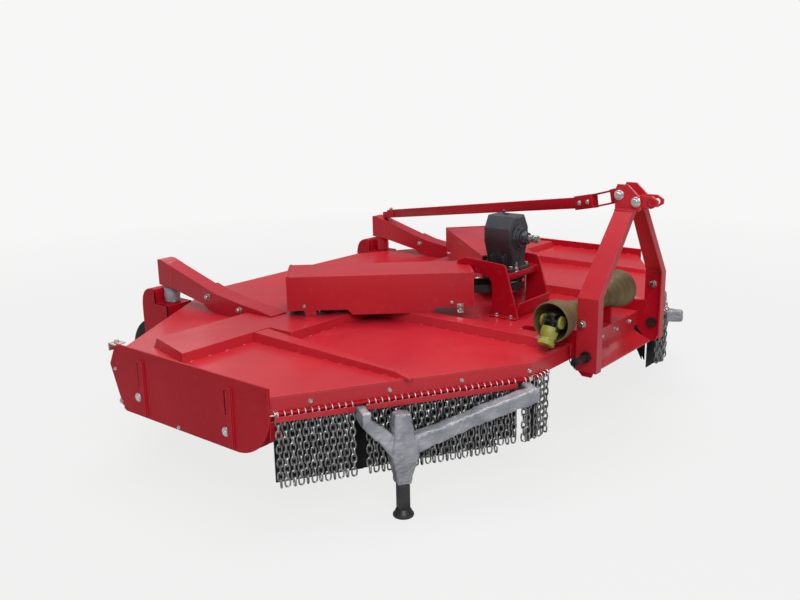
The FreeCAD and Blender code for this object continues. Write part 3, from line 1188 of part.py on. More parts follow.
# ------------------------------------------------------------------ check and write
doc.recompute()
faults = []
for thing in doc.Objects:
    if "Invalid" in thing.State or "Error" in thing.State:
        faults.append("%s (%s): %s" % (thing.Name, thing.Label, thing.State))
for body in pieces:
    if body.Shape.isNull() or not body.Shape.isValid():
        faults.append("%s has no valid shape" % body.Label)
if faults:
    raise RuntimeError("; ".join(faults))
os.makedirs("parts", exist_ok=True)
for body in pieces:
    body.Shape.exportStep("parts/%s.step" % body.Label)
    print("%-24s %9.0f cm3  %d solids" % (body.Label, body.Shape.Volume / 1000, len(body.Shape.Solids)))
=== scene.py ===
import math
import random

import bmesh
import bpy
from mathutils import Matrix, Vector, noise


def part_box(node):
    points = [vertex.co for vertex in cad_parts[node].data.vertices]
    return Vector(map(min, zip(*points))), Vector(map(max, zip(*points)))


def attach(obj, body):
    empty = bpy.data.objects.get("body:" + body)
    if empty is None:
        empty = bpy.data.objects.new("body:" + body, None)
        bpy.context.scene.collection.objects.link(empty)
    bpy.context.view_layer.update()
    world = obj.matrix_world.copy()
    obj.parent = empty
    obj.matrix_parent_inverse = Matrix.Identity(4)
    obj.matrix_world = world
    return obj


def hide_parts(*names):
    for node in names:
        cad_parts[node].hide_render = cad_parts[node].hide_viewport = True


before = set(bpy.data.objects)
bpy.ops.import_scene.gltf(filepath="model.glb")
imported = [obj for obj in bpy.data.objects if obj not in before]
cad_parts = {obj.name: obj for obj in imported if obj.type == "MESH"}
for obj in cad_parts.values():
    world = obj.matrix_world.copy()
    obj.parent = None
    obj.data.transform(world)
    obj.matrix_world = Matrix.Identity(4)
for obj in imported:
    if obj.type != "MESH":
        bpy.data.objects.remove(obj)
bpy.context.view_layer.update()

# ---------------------------------------------------------------- studio
# A pale studio floor runs out into a white backdrop. Large soft lamps hang over and
# ahead of the machine, with weaker ones beside and behind it.
front_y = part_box("deck_plate")[0][1]


def at(x, y, z):
    """A point of the machine, with y measured from the deck's front edge."""
    return Vector((x, front_y + y, z))


camera_data = bpy.data.cameras.new("camera")
camera_data.lens = 39.735
camera_data.sensor_width = 36.0
camera = bpy.data.objects.new("camera", camera_data)
bpy.context.scene.collection.objects.link(camera)
heading, dip, roll = math.radians(39.33), math.radians(-14.28), math.radians(-1.07)
gaze = Vector((math.cos(heading) * math.cos(dip), math.sin(heading) * math.cos(dip), math.sin(dip)))
camera.location = at(-3.48, -1.67, 1.60)
level = gaze.to_track_quat("-Z", "Y")
camera.rotation_euler = (level @ Matrix.Rotation(roll, 3, "Z").to_quaternion()).to_euler()
bpy.context.scene.camera = camera
bpy.context.scene.view_settings.view_transform = "Standard"

for lamp_name, watts, across, place in (
        ("front_lamp", 300.0, 4.5, (-4.6, -4.4, 5.6)), ("side_lamp", 70.0, 4.0, (6.0, -1.5, 4.2)),
        ("top_lamp", 330.0, 5.0, (0.5, 0.5, 7.5)), ("rear_lamp", 60.0, 5.0, (1.5, 6.5, 5.0))):
    lamp_data = bpy.data.lights.new(lamp_name, "AREA")
    lamp_data.energy = watts
    lamp_data.size = across
    lamp = bpy.data.objects.new(lamp_name, lamp_data)
    lamp.location = place
    lamp.rotation_euler = (Vector((0.0, 0.0, 0.4)) - Vector(place)).to_track_quat("-Z", "Y").to_euler()
    bpy.context.scene.collection.objects.link(lamp)

backdrop_white = (0.925, 0.928, 0.921, 1.0)


def seen_rays(tree):
    """1 for the rays that look at a thing straight."""
    return tree.nodes.new("ShaderNodeLightPath").outputs["Is Camera Ray"]


world = bpy.data.worlds.new("studio")
bpy.context.scene.world = world
world.use_nodes = True
sky = world.node_tree
sky_light = sky.nodes["Background"]
sky_light.inputs["Color"].default_value = (0.93, 0.96, 1.0, 1.0)
sky_light.inputs["Strength"].default_value = 0.24
sky_seen = sky.nodes.new("ShaderNodeBackground")
sky_seen.inputs["Color"].default_value = backdrop_white
sky_mix = sky.nodes.new("ShaderNodeMixShader")
sky.links.new(seen_rays(sky), sky_mix.inputs[0])
sky.links.new(sky_light.outputs[0], sky_mix.inputs[1])
sky.links.new(sky_seen.outputs[0], sky_mix.inputs[2])
sky.links.new(sky_mix.outputs[0], sky.nodes["World Output"].inputs["Surface"])

floor_mesh = bpy.data.meshes.new("floor")
floor_bm = bmesh.new()
bmesh.ops.create_grid(floor_bm, x_segments=1, y_segments=1, size=40.0)
floor_bm.to_mesh(floor_mesh)
floor_bm.free()
floor = bpy.data.objects.new("floor", floor_mesh)
bpy.context.scene.collection.objects.link(floor)
floor_paint = bpy.data.materials.new("floor_paint")
floor_paint.use_nodes = True
tree = floor_paint.node_tree
matt = tree.nodes["Principled BSDF"]
matt.inputs["Base Color"].default_value = (0.55, 0.55, 0.55, 1.0)
matt.inputs["Roughness"].default_value = 0.9
matt.inputs["Specular IOR Level"].default_value = 0.0
glow = tree.nodes.new("ShaderNodeEmission")
glow.inputs["Color"].default_value = backdrop_white
where = tree.nodes.new("ShaderNodeTexCoord")
reach = tree.nodes.new("ShaderNodeVectorMath")
reach.operation = "LENGTH"
tree.links.new(where.outputs["Object"], reach.inputs[0])
fade = tree.nodes.new("ShaderNodeMapRange")
fade.inputs["From Min"].default_value = 2.4
fade.inputs["From Max"].default_value = 6.5
fade.inputs["To Min"].default_value = 0.86
fade.inputs["To Max"].default_value = 1.0
tree.links.new(reach.outputs["Value"], fade.inputs["Value"])
share = tree.nodes.new("ShaderNodeMath")
share.operation = "MULTIPLY"
tree.links.new(fade.outputs[0], share.inputs[0])
tree.links.new(seen_rays(tree), share.inputs[1])
floor_mix = tree.nodes.new("ShaderNodeMixShader")
tree.links.new(share.outputs[0], floor_mix.inputs[0])
tree.links.new(matt.outputs[0], floor_mix.inputs[1])
tree.links.new(glow.outputs[0], floor_mix.inputs[2])
tree.links.new(floor_mix.outputs[0], tree.nodes["Material Output"].inputs["Surface"])
floor_mesh.materials.append(floor_paint)

# ---------------------------------------------------------------- deck
# The deck, its skirts, the hat-section beam and the ribs are folded and laser-cut sheet, stitch-welded together
# and sprayed with a glossy red enamel. The lighter red along the sheared edges is a painted highlight.


def new_finish(name, **values):
    """A material with plain values on its shader's own sockets."""
    finish = bpy.data.materials.new(name)
    finish.use_nodes = True
    shader = finish.node_tree.nodes["Principled BSDF"]
    for socket, value in values.items():
        shader.inputs[socket.replace("_", " ")].default_value = value
    return finish


def grain(finish, scale, detail=3.0, stretch=(1.0, 1.0, 1.0)):
    """A noise over the finish, set out in the machine's own metres."""
    tree = finish.node_tree
    where = tree.nodes.new("ShaderNodeTexCoord")
    spread = tree.nodes.new("ShaderNodeMapping")
    spread.inputs["Scale"].default_value = stretch
    cloud = tree.nodes.new("ShaderNodeTexNoise")
    cloud.inputs["Scale"].default_value = scale
    cloud.inputs["Detail"].default_value = detail
    tree.links.new(where.outputs["Object"], spread.inputs["Vector"])
    tree.links.new(spread.outputs["Vector"], cloud.inputs["Vector"])
    return cloud.outputs[0]


def tones(finish, pattern, *stops):
    """Colours along a pattern, as (place, colour) stops."""
    ramp = finish.node_tree.nodes.new("ShaderNodeValToRGB")
    while len(ramp.color_ramp.elements) < len(stops):
        ramp.color_ramp.elements.new(0.5)
    for stop, (place, colour) in zip(ramp.color_ramp.elements, stops):
        stop.position = place
        stop.color = (*colour, 1.0)
    finish.node_tree.links.new(pattern, ramp.inputs[0])
    return ramp.outputs[0]


def mix_tones(finish, amount, first, second, low=0.0, high=1.0):
    """Goes from the first colour to the second as the amount rises from low to high."""
    tree = finish.node_tree
    rise = tree.nodes.new("ShaderNodeMapRange")
    rise.inputs["From Min"].default_value = low
    rise.inputs["From Max"].default_value = high
    tree.links.new(amount, rise.inputs["Value"])
    mix = tree.nodes.new("ShaderNodeMix")
    mix.data_type = "RGBA"
    tree.links.new(rise.outputs[0], mix.inputs[0])
    for socket, colour in ((mix.inputs[6], first), (mix.inputs[7], second)):
        if isinstance(colour, tuple):
            socket.default_value = (*colour, 1.0)
        else:
            tree.links.new(colour, socket)
    return mix.outputs[2]


def colour_from(finish, colour):
    shader = finish.node_tree.nodes["Principled BSDF"]
    finish.node_tree.links.new(colour, shader.inputs["Base Color"])


def gloss_from(finish, pattern, low, high):
    """Roughness that wanders between two values with a pattern."""
    tree = finish.node_tree
    spread = tree.nodes.new("ShaderNodeMapRange")
    spread.inputs["From Min"].default_value = 0.3
    spread.inputs["From Max"].default_value = 0.7
    spread.inputs["To Min"].default_value = low
    spread.inputs["To Max"].default_value = high
    tree.links.new(pattern, spread.inputs["Value"])
    tree.links.new(spread.outputs[0], tree.nodes["Principled BSDF"].inputs["Roughness"])


def relief(finish, edge, *layers):
    """Rounded sheet edges under one or more (pattern, depth in metres) layers of relief."""
    tree = finish.node_tree
    rounded = tree.nodes.new("ShaderNodeBevel")
    rounded.samples = 4
    rounded.inputs["Radius"].default_value = edge
    normal = rounded.outputs[0]
    for pattern, depth in layers:
        bump = tree.nodes.new("ShaderNodeBump")
        bump.inputs["Strength"].default_value = 1.0
        bump.inputs["Distance"].default_value = depth
        tree.links.new(pattern, bump.inputs["Height"])
        tree.links.new(normal, bump.inputs["Normal"])
        normal = bump.outputs[0]
    tree.links.new(normal, tree.nodes["Principled BSDF"].inputs["Normal"])


def edge_mask(finish, reach_m):
    """How much a spot lies on a sheet's edge, from how its rounded normal turns away."""
    tree = finish.node_tree
    rounded = tree.nodes.new("ShaderNodeBevel")
    rounded.samples = 4
    rounded.inputs["Radius"].default_value = reach_m
    flat = tree.nodes.new("ShaderNodeNewGeometry")
    same = tree.nodes.new("ShaderNodeVectorMath")
    same.operation = "DOT_PRODUCT"
    tree.links.new(rounded.outputs[0], same.inputs[0])
    tree.links.new(flat.outputs["Normal"], same.inputs[1])
    turned = tree.nodes.new("ShaderNodeMath")
    turned.operation = "SUBTRACT"
    turned.inputs[0].default_value = 1.0
    tree.links.new(same.outputs["Value"], turned.inputs[1])
    return turned.outputs[0]


def red_enamel_coat(name, crimson, scarlet, shine=0.22, mirror=0.4):
    finish = new_finish(name, Coat_Weight=shine, Coat_Roughness=0.12, Specular_IOR_Level=mirror)
    drift = tones(finish, grain(finish, 1.3, 2.0), (0.35, crimson), (0.65, scarlet))
    dust = mix_tones(finish, grain(finish, 38.0, 6.0), drift, (0.62, 0.05, 0.06), 0.6, 1.0)
    # The lighter red along sheet edges, from the edge mask, is a painted highlight.
    colour_from(finish, mix_tones(finish, edge_mask(finish, 0.004), dust, (0.78, 0.11, 0.12), 0.03, 0.4))
    gloss_from(finish, grain(finish, 6.0, 5.0), 0.28, 0.44)
    relief(finish, 0.003, (grain(finish, 1.9, 1.0), 0.012), (grain(finish, 260.0, 1.0), 0.00012))
    return finish


red_enamel = red_enamel_coat("red_enamel", (0.50, 0.012, 0.026), (0.62, 0.020, 0.030))


def coat(finish, *names):
    """Gives CAD nodes their finish."""
    for name in names:
        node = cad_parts[name]
        node.data.materials.clear()
        node.data.materials.append(finish)


def both(*stems):
    return [stem + "_" + side_name for stem in stems for side_name in ("left", "right")]


coat(red_enamel, "deck_plate", "front_skirt", "rear_skirt", "cross_beam", *both("outer_rib", "inner_rib"))


def settle(name, bm, finish, body="root", smooth=40.0, stands_for=()):
    """Turns a finished bmesh into a piece that rides on a body."""
    bmesh.ops.recalc_face_normals(bm, faces=bm.faces)
    mesh = bpy.data.meshes.new(name)
    bm.to_mesh(mesh)
    bm.free()
    mesh.materials.append(finish)
    if smooth:
        mesh.shade_smooth()
        mesh.set_sharp_from_angle(angle=math.radians(smooth))
    made = bpy.data.objects.new(name, mesh)
    bpy.context.scene.collection.objects.link(made)
    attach(made, body)
    if stands_for:
        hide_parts(*stands_for)
    return made


def facing(spot, out, turn=0.0):
    """The matrix that stands +Z of a shape along a direction at a spot."""
    aim = Vector(out).to_track_quat("Z", "Y").to_matrix().to_4x4()
    return Matrix.Translation(spot) @ aim @ Matrix.Rotation(turn, 4, "Z")


def stitch_weld(bm, start, end, gap=0.075, long=0.034, thick=0.0042):
    """A row of short weld runs along a seam."""
    run = end - start
    count = max(1, int(run.length / gap))
    for k in range(count):
        spot = start + run * ((k + 0.5) / count)
        size = Matrix.Diagonal((thick, thick * 0.8, long * random.uniform(0.42, 0.55), 1.0))
        bmesh.ops.create_icosphere(bm, subdivisions=1, radius=1.0, matrix=facing(spot, run) @ size)


random.seed(7)
welds = bmesh.new()
deck_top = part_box("deck_plate")[1][2]
seam_z = deck_top + 0.001
beam_end, beam_front, beam_rear = 1.462, 1.094, 1.381
rib_outer, rib_inner, rib_tip, rib_toe = 1.094, 0.998, 1.064, 0.252
spine_outer, spine_inner, spine_toe, tie_front = 0.467, 0.373, 0.032, 0.958
for side in (-1, 1):
    corners = [(beam_end, beam_front), (rib_outer, beam_front), (rib_outer, rib_toe), (rib_tip, rib_toe),
               (rib_inner, tie_front), (spine_outer, tie_front), (spine_outer, spine_toe),
               (spine_inner, spine_toe), (spine_inner, tie_front), (0.0, tie_front)]
    for (xa, ya), (xb, yb) in zip(corners, corners[1:]):
        stitch_weld(welds, at(side * xa, ya, seam_z), at(side * xb, yb, seam_z))
    stitch_weld(welds, at(side * 1.464, 1.1, seam_z), at(side * 1.394, 1.378, seam_z))
    stitch_weld(welds, at(side * 1.39, beam_rear, seam_z), at(0.0, beam_rear, seam_z))
settle("deck_welds", welds, red_enamel)

# ---------------------------------------------------------------- side plates and skids
# Plasma-cut 8 mm plates close the deck's sides. Each has two slots for its skid's zinc-plated
# adjusting bolts, and a shoe of bent flat bar inside its lower edge.
# A darker, duller copy of the red enamel for the side plates and for many brackets, bars and rods: painted
# shade on the same red paint.
shaded_red_enamel = red_enamel_coat("shaded_red_enamel", (0.41, 0.003, 0.014), (0.50, 0.006, 0.018), 0.04, 0.15)
coat(shaded_red_enamel, *both("side_plate"))
skid_paint = red_enamel_coat("skid_enamel", (0.50, 0.010, 0.024), (0.60, 0.018, 0.028))
coat(skid_paint, *both("skid"))


def grained(name, cloud, stops, gloss, bump=(), **values):
    """A finish whose colour, gloss and relief each follow a grain of their own."""
    finish = new_finish(name, **values)
    colour_from(finish, tones(finish, grain(finish, *cloud), *stops))
    gloss_from(finish, grain(finish, *gloss[:-2]), *gloss[-2:])
    if bump:
        edge, *fine, depth = bump
        relief(finish, edge, (grain(finish, *fine), depth))
    return finish


zinc = grained("zinc_plate", (55.0, 4.0), ((0.3, (0.50, 0.50, 0.47)), (0.7, (0.74, 0.74, 0.72))),
               (90.0, 3.0, 0.24, 0.42), (0.0008, 400.0, 2.0, 0.00008), Metallic=1.0)
bright_zinc = grained("bright_zinc", (80.0, 3.0), ((0.35, (0.66, 0.66, 0.64)), (0.65, (0.86, 0.86, 0.84))),
                      (60.0, 2.0, 0.22, 0.4), Metallic=0.85)


def hex_bolt(bm, spot, out, across=0.017, tall=0.008, washer=0.0125, turn=0.0):
    """A washer and a chamfered hexagon head, standing on a face."""
    stand = facing(spot, out, turn)
    base = 0.0
    if washer:
        base = 0.0024
        bmesh.ops.create_cone(bm, cap_ends=True, segments=18, radius1=washer, radius2=washer * 0.95,
                              depth=base, matrix=stand @ Matrix.Translation((0, 0, base / 2)))
    radius = across / 2 / math.cos(math.pi / 6)
    bmesh.ops.create_cone(bm, cap_ends=True, segments=6, radius1=radius, radius2=radius, depth=tall,
                          matrix=stand @ Matrix.Translation((0, 0, base + tall / 2)))
    bmesh.ops.create_cone(bm, cap_ends=True, segments=12, radius1=radius * 0.93, radius2=radius * 0.78,
                          depth=tall * 0.2, matrix=stand @ Matrix.Translation((0, 0, base + tall * 1.1)))


def rod_piece(bm, start, end, radius, segments=12):
    """A round bar between two points."""
    run = end - start
    bmesh.ops.create_cone(bm, cap_ends=True, segments=segments, radius1=radius, radius2=radius,
                          depth=run.length, matrix=facing(start + run / 2, run))


def edges_of(verts):
    """The edges that meet these verts, each once, in the same order every run."""
    return list(dict.fromkeys(edge for vert in verts for edge in vert.link_edges))


def block(bm, middle, sizes, turn=None, bevel=0.0):
    """A flat bar or plate with eased edges."""
    matrix = Matrix.Translation(middle)
    if turn is not None:
        matrix = matrix @ turn
    made = bmesh.ops.create_cube(bm, size=1.0, matrix=matrix @ Matrix.Diagonal((*sizes, 1.0)))
    if bevel:
        edges = edges_of(made["verts"])
        bmesh.ops.bevel(bm, geom=edges, offset=bevel, segments=2, profile=0.5, affect="EDGES", material=-1)


def bent_strip(bm, path, x, wide, thick):
    """A strip folded along a path of (y, z) points, so wide across X."""
    first = [bm.verts.new(at(x - wide / 2, y, z)) for y, z in path]
    ribbon = [bm.edges.new(pair) for pair in zip(first, first[1:])]
    sheet = bmesh.ops.extrude_edge_only(bm, edges=ribbon)["geom"]
    moved = [item for item in sheet if isinstance(item, bmesh.types.BMVert)]
    bmesh.ops.translate(bm, verts=moved, vec=(wide, 0, 0))
    faces = [item for item in sheet if isinstance(item, bmesh.types.BMFace)]
    bmesh.ops.recalc_face_normals(bm, faces=faces)
    bmesh.ops.solidify(bm, geom=faces, thickness=thick)


plate_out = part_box("side_plate_right")[1][0] - 0.008
nose_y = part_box("side_plate_right")[0][1] - front_y + 0.007
nose_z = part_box("side_plate_right")[0][2] + 0.007
nose_round = 0.183
for side_name, side in (("left", -1), ("right", 1)):
    bolts = bmesh.new()
    out = (side, 0, 0)
    for y, z in ((0.776, 0.329), (1.318, 0.345)):
        spot = at(side * plate_out, y, z)
        hex_bolt(bolts, spot, out, across=0.027, tall=0.0030, washer=0.019, turn=0.4)
        rod_piece(bolts, spot, spot + Vector((side * 0.0079, 0, 0)), 0.0062)
    hex_bolt(bolts, at(side * plate_out, 1.438, 0.3), out, across=0.013, tall=0.0044, washer=0.009)
    hex_bolt(bolts, at(side * plate_out, 1.06, 0.277), out, across=0.011, tall=0.0044, washer=0.008)
    hex_bolt(bolts, at(side * plate_out, 1.462, 0.44), out, across=0.011, tall=0.0044, washer=0.008)
    settle("side_bolts_" + side_name, bolts, bright_zinc)

    # The shoe runs on up the plate's rounded nose to the deck's skirt.
    shoe = bmesh.new()
    bend = [(nose_y + nose_round * (1.0 - math.sin(angle)), nose_z + nose_round * (1.0 - math.cos(angle)))
            for angle in (math.radians(10 * k) for k in range(-1, 10))]
    bent_strip(shoe, bend + [(nose_y, 0.436)], side * 1.491, 0.060, 0.005)
    settle("nose_shoe_" + side_name, shoe, shaded_red_enamel)

    # A folded zinc clip and a bolt join the plate's upper rear corner to the deck's flange.
    clip = bmesh.new()
    block(clip, at(side * 1.512, 1.462, 0.546), (0.05, 0.05, 0.004), bevel=0.0012)
    block(clip, at(side * 1.512, 1.489, 0.531), (0.05, 0.004, 0.034), bevel=0.0012)
    hex_bolt(clip, at(side * 1.506, 1.491, 0.53), (0, 1, 0), across=0.019, tall=0.01, washer=0.014)
    hex_bolt(clip, at(side * 1.514, 1.462, 0.548), (0, 0, 1), across=0.017, tall=0.009, washer=0.012)
    hex_bolt(clip, at(side * 1.505, 1.453, 0.29), (0, 1, 0), across=0.026, tall=0.02, washer=0.018)
    settle("corner_clip_" + side_name, clip, bright_zinc)

    seams = bmesh.new()
    seam_x = side * 1.521
    stitch_weld(seams, at(seam_x, 0.57, deck_top + 0.001), at(seam_x, 1.44, deck_top + 0.001))
    stitch_weld(seams, at(seam_x, 0.74, 0.276), at(seam_x, 1.42, 0.276), gap=0.11)
    settle("side_welds_" + side_name, seams, red_enamel)

# ---------------------------------------------------------------- chain curtains
# Zinc-plated short-link chain hangs by one ring per strand from a painted round bar under each
# skirt, behind a thin painted lip. Twisted wire ties the bars' ends, and bolts clamp them to the skirt.
coat(shaded_red_enamel, *both("chain_rod"), "chain_rod_rear")
chain_zinc = grained("chain_zinc", (34.0, 5.0),
                     ((0.32, (0.20, 0.20, 0.20)), (0.5, (0.36, 0.36, 0.36)), (0.7, (0.55, 0.55, 0.54))),
                     (140.0, 3.0, 0.32, 0.55), (0.0006, 500.0, 2.0, 0.0001), Metallic=0.92)

slant_x, slant_y = 0.8507, 0.5257
corner_x, corner_y = 1.522, 0.545
sweep_long = 1.0368
rod_z = 0.448
rod_out = 0.0073
link_wire, link_wide, link_pitch, link_stretch = 0.0037, 0.0102, 0.0264, 0.0067
strand_step, strand_drop, first_link = 0.0258, 0.0098, 0.0176
ring_radius, ring_wire, ring_drop = 0.0130, 0.0026, 0.0035


def on_sweep(side, run, out, z):
    """A point a run along a slanting skirt from its side plate, and so far outside it."""
    x = side * (corner_x - slant_x * run + slant_y * out)
    return at(x, corner_y - slant_y * run - slant_x * out, z)


def wire_ring(bm, place, radius, wire, sides=6, steps=12):
    """A closed ring of round wire about the Z of its place."""
    section = bmesh.ops.create_circle(bm, segments=sides, radius=wire,
                                      matrix=place @ Matrix.Translation((radius, 0, 0))
                                      @ Matrix.Rotation(math.pi / 2, 4, "X"))["verts"]
    loop = section + edges_of(section)
    bmesh.ops.spin(bm, geom=loop, cent=place.translation, axis=place.col[2].xyz, dvec=(0, 0, 0),
                   angle=2 * math.pi, steps=steps, use_merge=True, use_normal_flip=False, use_duplicate=False)


def stamp(bm, mesh, matrix):
    """Adds a copy of a mesh at its place."""
    copied = bmesh.new()
    copied.from_mesh(mesh)
    bmesh.ops.transform(copied, matrix=matrix, verts=copied.verts)
    moved = bpy.data.meshes.new("moved")
    copied.to_mesh(moved)
    copied.free()
    bm.from_mesh(moved)
    bpy.data.meshes.remove(moved)


link_bm = bmesh.new()
wire_ring(link_bm, Matrix.Rotation(math.pi / 2, 4, "X"), link_wide, link_wire, 5, 10)
for vert in link_bm.verts:
    if abs(vert.co.z) > 1e-5:
        vert.co.z += math.copysign(link_stretch, vert.co.z)
link_mesh = bpy.data.meshes.new("link")
link_bm.to_mesh(link_mesh)
link_bm.free()


def strand(links, seed, first):
    """One hanging chain of links turned this way and that, as a mesh to copy from the origin."""
    random.seed(seed)
    bm = bmesh.new()
    for k in range(links):
        turn = math.pi / 2 * ((k + first) % 2) + random.uniform(-0.2, 0.2)
        spot = (random.uniform(-0.0007, 0.0007), random.uniform(-0.0004, 0.0004), -first_link - k * link_pitch)
        stamp(bm, link_mesh, Matrix.Translation(spot) @ Matrix.Rotation(turn, 4, "Z"))
    mesh = bpy.data.meshes.new("strand")
    bm.to_mesh(mesh)
    bm.free()
    return mesh


# Near-black colour for the flaps behind the chains, as painted shade.
shade_sheet_black = grained("shade_sheet_black", (26.0, 4.0),
                      ((0.3, (0.008, 0.008, 0.009)), (0.7, (0.020, 0.020, 0.021))), (40.0, 3.0, 0.6, 0.85),
                      Specular_IOR_Level=0.2)

# Each block of strands has its start and end as shares of the skirt's length, and its lower edge.
curtain_blocks = ((0.02, 0.306, 0.16), (0.344, 0.86, 0.16), (0.86, 0.934, 0.187), (0.955, 0.995, 0.187))
for side_name, side in (("left", -1), ("right", 1)):
    chains = bmesh.new()
    rings = bmesh.new()
    along = Vector((-side * slant_x, -slant_y, 0.0))
    for first, last, low in curtain_blocks:
        start, end = first * sweep_long + 0.011, last * sweep_long - 0.012
        count = max(1, round((end - start) / strand_step))
        links = round((rod_z - 0.022 - low) / link_pitch)
        kinds = [strand(links, 3 + k, k % 2) for k in range(4)]
        for k in range(count + 1):
            run = start + (end - start) * k / count
            top = on_sweep(side, run, rod_out, rod_z - strand_drop)
            sway = Matrix.Rotation(random.uniform(-0.007, 0.007), 4, "X")
            face = Matrix.Rotation(math.atan2(along.y, along.x) + random.uniform(-0.12, 0.12), 4, "Z")
            stamp(chains, kinds[k % 4], Matrix.Translation(top) @ sway @ face)
            ring_place = facing(on_sweep(side, run, rod_out, rod_z - ring_drop), along)
            wire_ring(rings, ring_place, ring_radius, ring_wire)
    corner_bar = bmesh.new()
    rod_piece(corner_bar, at(side * 0.632, -rod_out, rod_z), at(side * 0.528, -rod_out, rod_z), 0.0068, 16)
    settle("corner_rod_" + side_name, corner_bar, shaded_red_enamel)
    for k in range(4):
        x = side * (0.622 - 0.0262 * k)
        twist = Matrix.Rotation(random.uniform(-0.12, 0.12), 4, "Z")
        stamp(chains, kinds[k % 4], Matrix.Translation(at(x, -rod_out, rod_z - strand_drop)) @ twist)
        wire_ring(rings, facing(at(x, -rod_out, rod_z - ring_drop), (1, 0, 0)), ring_radius, ring_wire)
    settle("chain_curtain_" + side_name, chains, chain_zinc, smooth=60.0,
           stands_for=("chain_" + side_name,))
    settle("chain_rings_" + side_name, rings, bright_zinc, smooth=60.0)

    clamps = bmesh.new()
    face_out = (side * slant_y, -slant_x, 0.0)
    for run in (0.154, 0.452, 0.739, 1.024):
        hex_bolt(clamps, on_sweep(side, run, 0.0, 0.48), face_out, across=0.013, tall=0.007,
                 washer=0.009, turn=0.3)
    settle("skirt_bolts_" + side_name, clamps, zinc)

    lip = bmesh.new()
    for first, last in ((0.02, 0.302), (0.344, 0.93)):
        a, b = first * sweep_long, last * sweep_long
        turn = Matrix.Rotation(math.atan2(along.y, along.x), 4, "Z")
        block(lip, on_sweep(side, (a + b) / 2, rod_out + 0.0172, 0.4335), (b - a, 0.002, 0.022), turn, 0.0008)
    settle("chain_lip_" + side_name, lip, red_enamel)

    # A near-black flap hangs from the deck behind each curtain: painted shade of the dark space under the deck,
    # seen through the chains.
    flap = bmesh.new()
    for first, last, low in ((0.0, 0.325, 0.144), (0.325, 0.86, 0.146), (0.86, 0.95, 0.172)):
        a, b = first * sweep_long, last * sweep_long
        turn = Matrix.Rotation(math.atan2(along.y, along.x), 4, "Z")
        block(flap, on_sweep(side, (a + b) / 2 + 0.03, -0.086, (0.505 + low) / 2),
              (b - a + 0.002, 0.004, 0.505 - low), turn, 0.001)
    block(flap, at(side * 0.576, 0.036, 0.335), (0.10, 0.004, 0.34), bevel=0.001)
    settle("shade_sheet_" + side_name, flap, shade_sheet_black)

    ties = bmesh.new()
    random.seed(11)
    for run, way in ((0.03, -1), (1.022, 1)):
        for k in range(3):
            lean = Vector((random.uniform(-0.4, 0.4), random.uniform(-0.4, 0.4), random.uniform(-0.2, 0.9)))
            heart = on_sweep(side, run, rod_out, rod_z)
            tail = heart + (along * way * 0.6 + lean).normalized() * random.uniform(0.018, 0.034)
            rod_piece(ties, heart + Vector(face_out) * 0.008, tail + Vector(face_out) * 0.01, 0.0012, 6)
        for k in range(4):
            spot = on_sweep(side, run + way * 0.003 * k, rod_out, rod_z)
            bmesh.ops.create_cone(ties, cap_ends=True, segments=12, radius1=0.0088, radius2=0.0088,
                                  depth=0.0022, matrix=facing(spot, along))
    settle("wire_ties_" + side_name, ties, bright_zinc)

rear_chains = bmesh.new()
rear_rings = bmesh.new()
rear_kinds = [strand(8, 20 + k, k % 2) for k in range(4)]
rear_z = 0.392
for k in range(30):
    x = -0.388 + 0.776 * k / 29
    top = at(x, 2.01 + rod_out, rear_z - strand_drop)
    sway = Matrix.Rotation(random.uniform(-0.05, 0.05), 4, "Z")
    stamp(rear_chains, rear_kinds[k % 4], Matrix.Translation(top) @ sway)
    bmesh.ops.create_cone(rear_rings, cap_ends=True, segments=12, radius1=0.0112, radius2=0.0112,
                                 depth=0.005, matrix=facing(at(x, 2.01 + rod_out, rear_z - 0.001), (1, 0, 0)))
settle("chain_curtain_rear", rear_chains, chain_zinc, smooth=60.0, stands_for=("chain_rear",))
settle("chain_rings_rear", rear_rings, bright_zinc)

# ---------------------------------------------------------------- gearbox stand
# Two laser-cut cheeks with forward and rearward horns carry the gearbox on a shelf,
# bolted through its foot with long studs that hang below the shelf.
shelf_z, cheek_x = 0.704, 0.146
cheek_shape = [(0.366, 0.5125), (0.508, 0.5125), (0.509, 0.640), (0.514, 0.672), (0.530, 0.692), (0.700, 0.724),
               (0.709, 0.735), (0.700, 0.752), (0.660, 0.768), (0.640, 0.769), (0.448, 0.757), (0.438, 0.748)]


def cut_plate(bm, outline, x, thick):
    """A plate cut to an outline of (y, z) points and standing across X."""
    sheet = bm.faces.new([bm.verts.new(at(x - thick / 2, y, z)) for y, z in outline])
    raised = bmesh.ops.extrude_face_region(bm, geom=[sheet])["geom"]
    moved = [item for item in raised if isinstance(item, bmesh.types.BMVert)]
    bmesh.ops.translate(bm, verts=moved, vec=(thick, 0, 0))


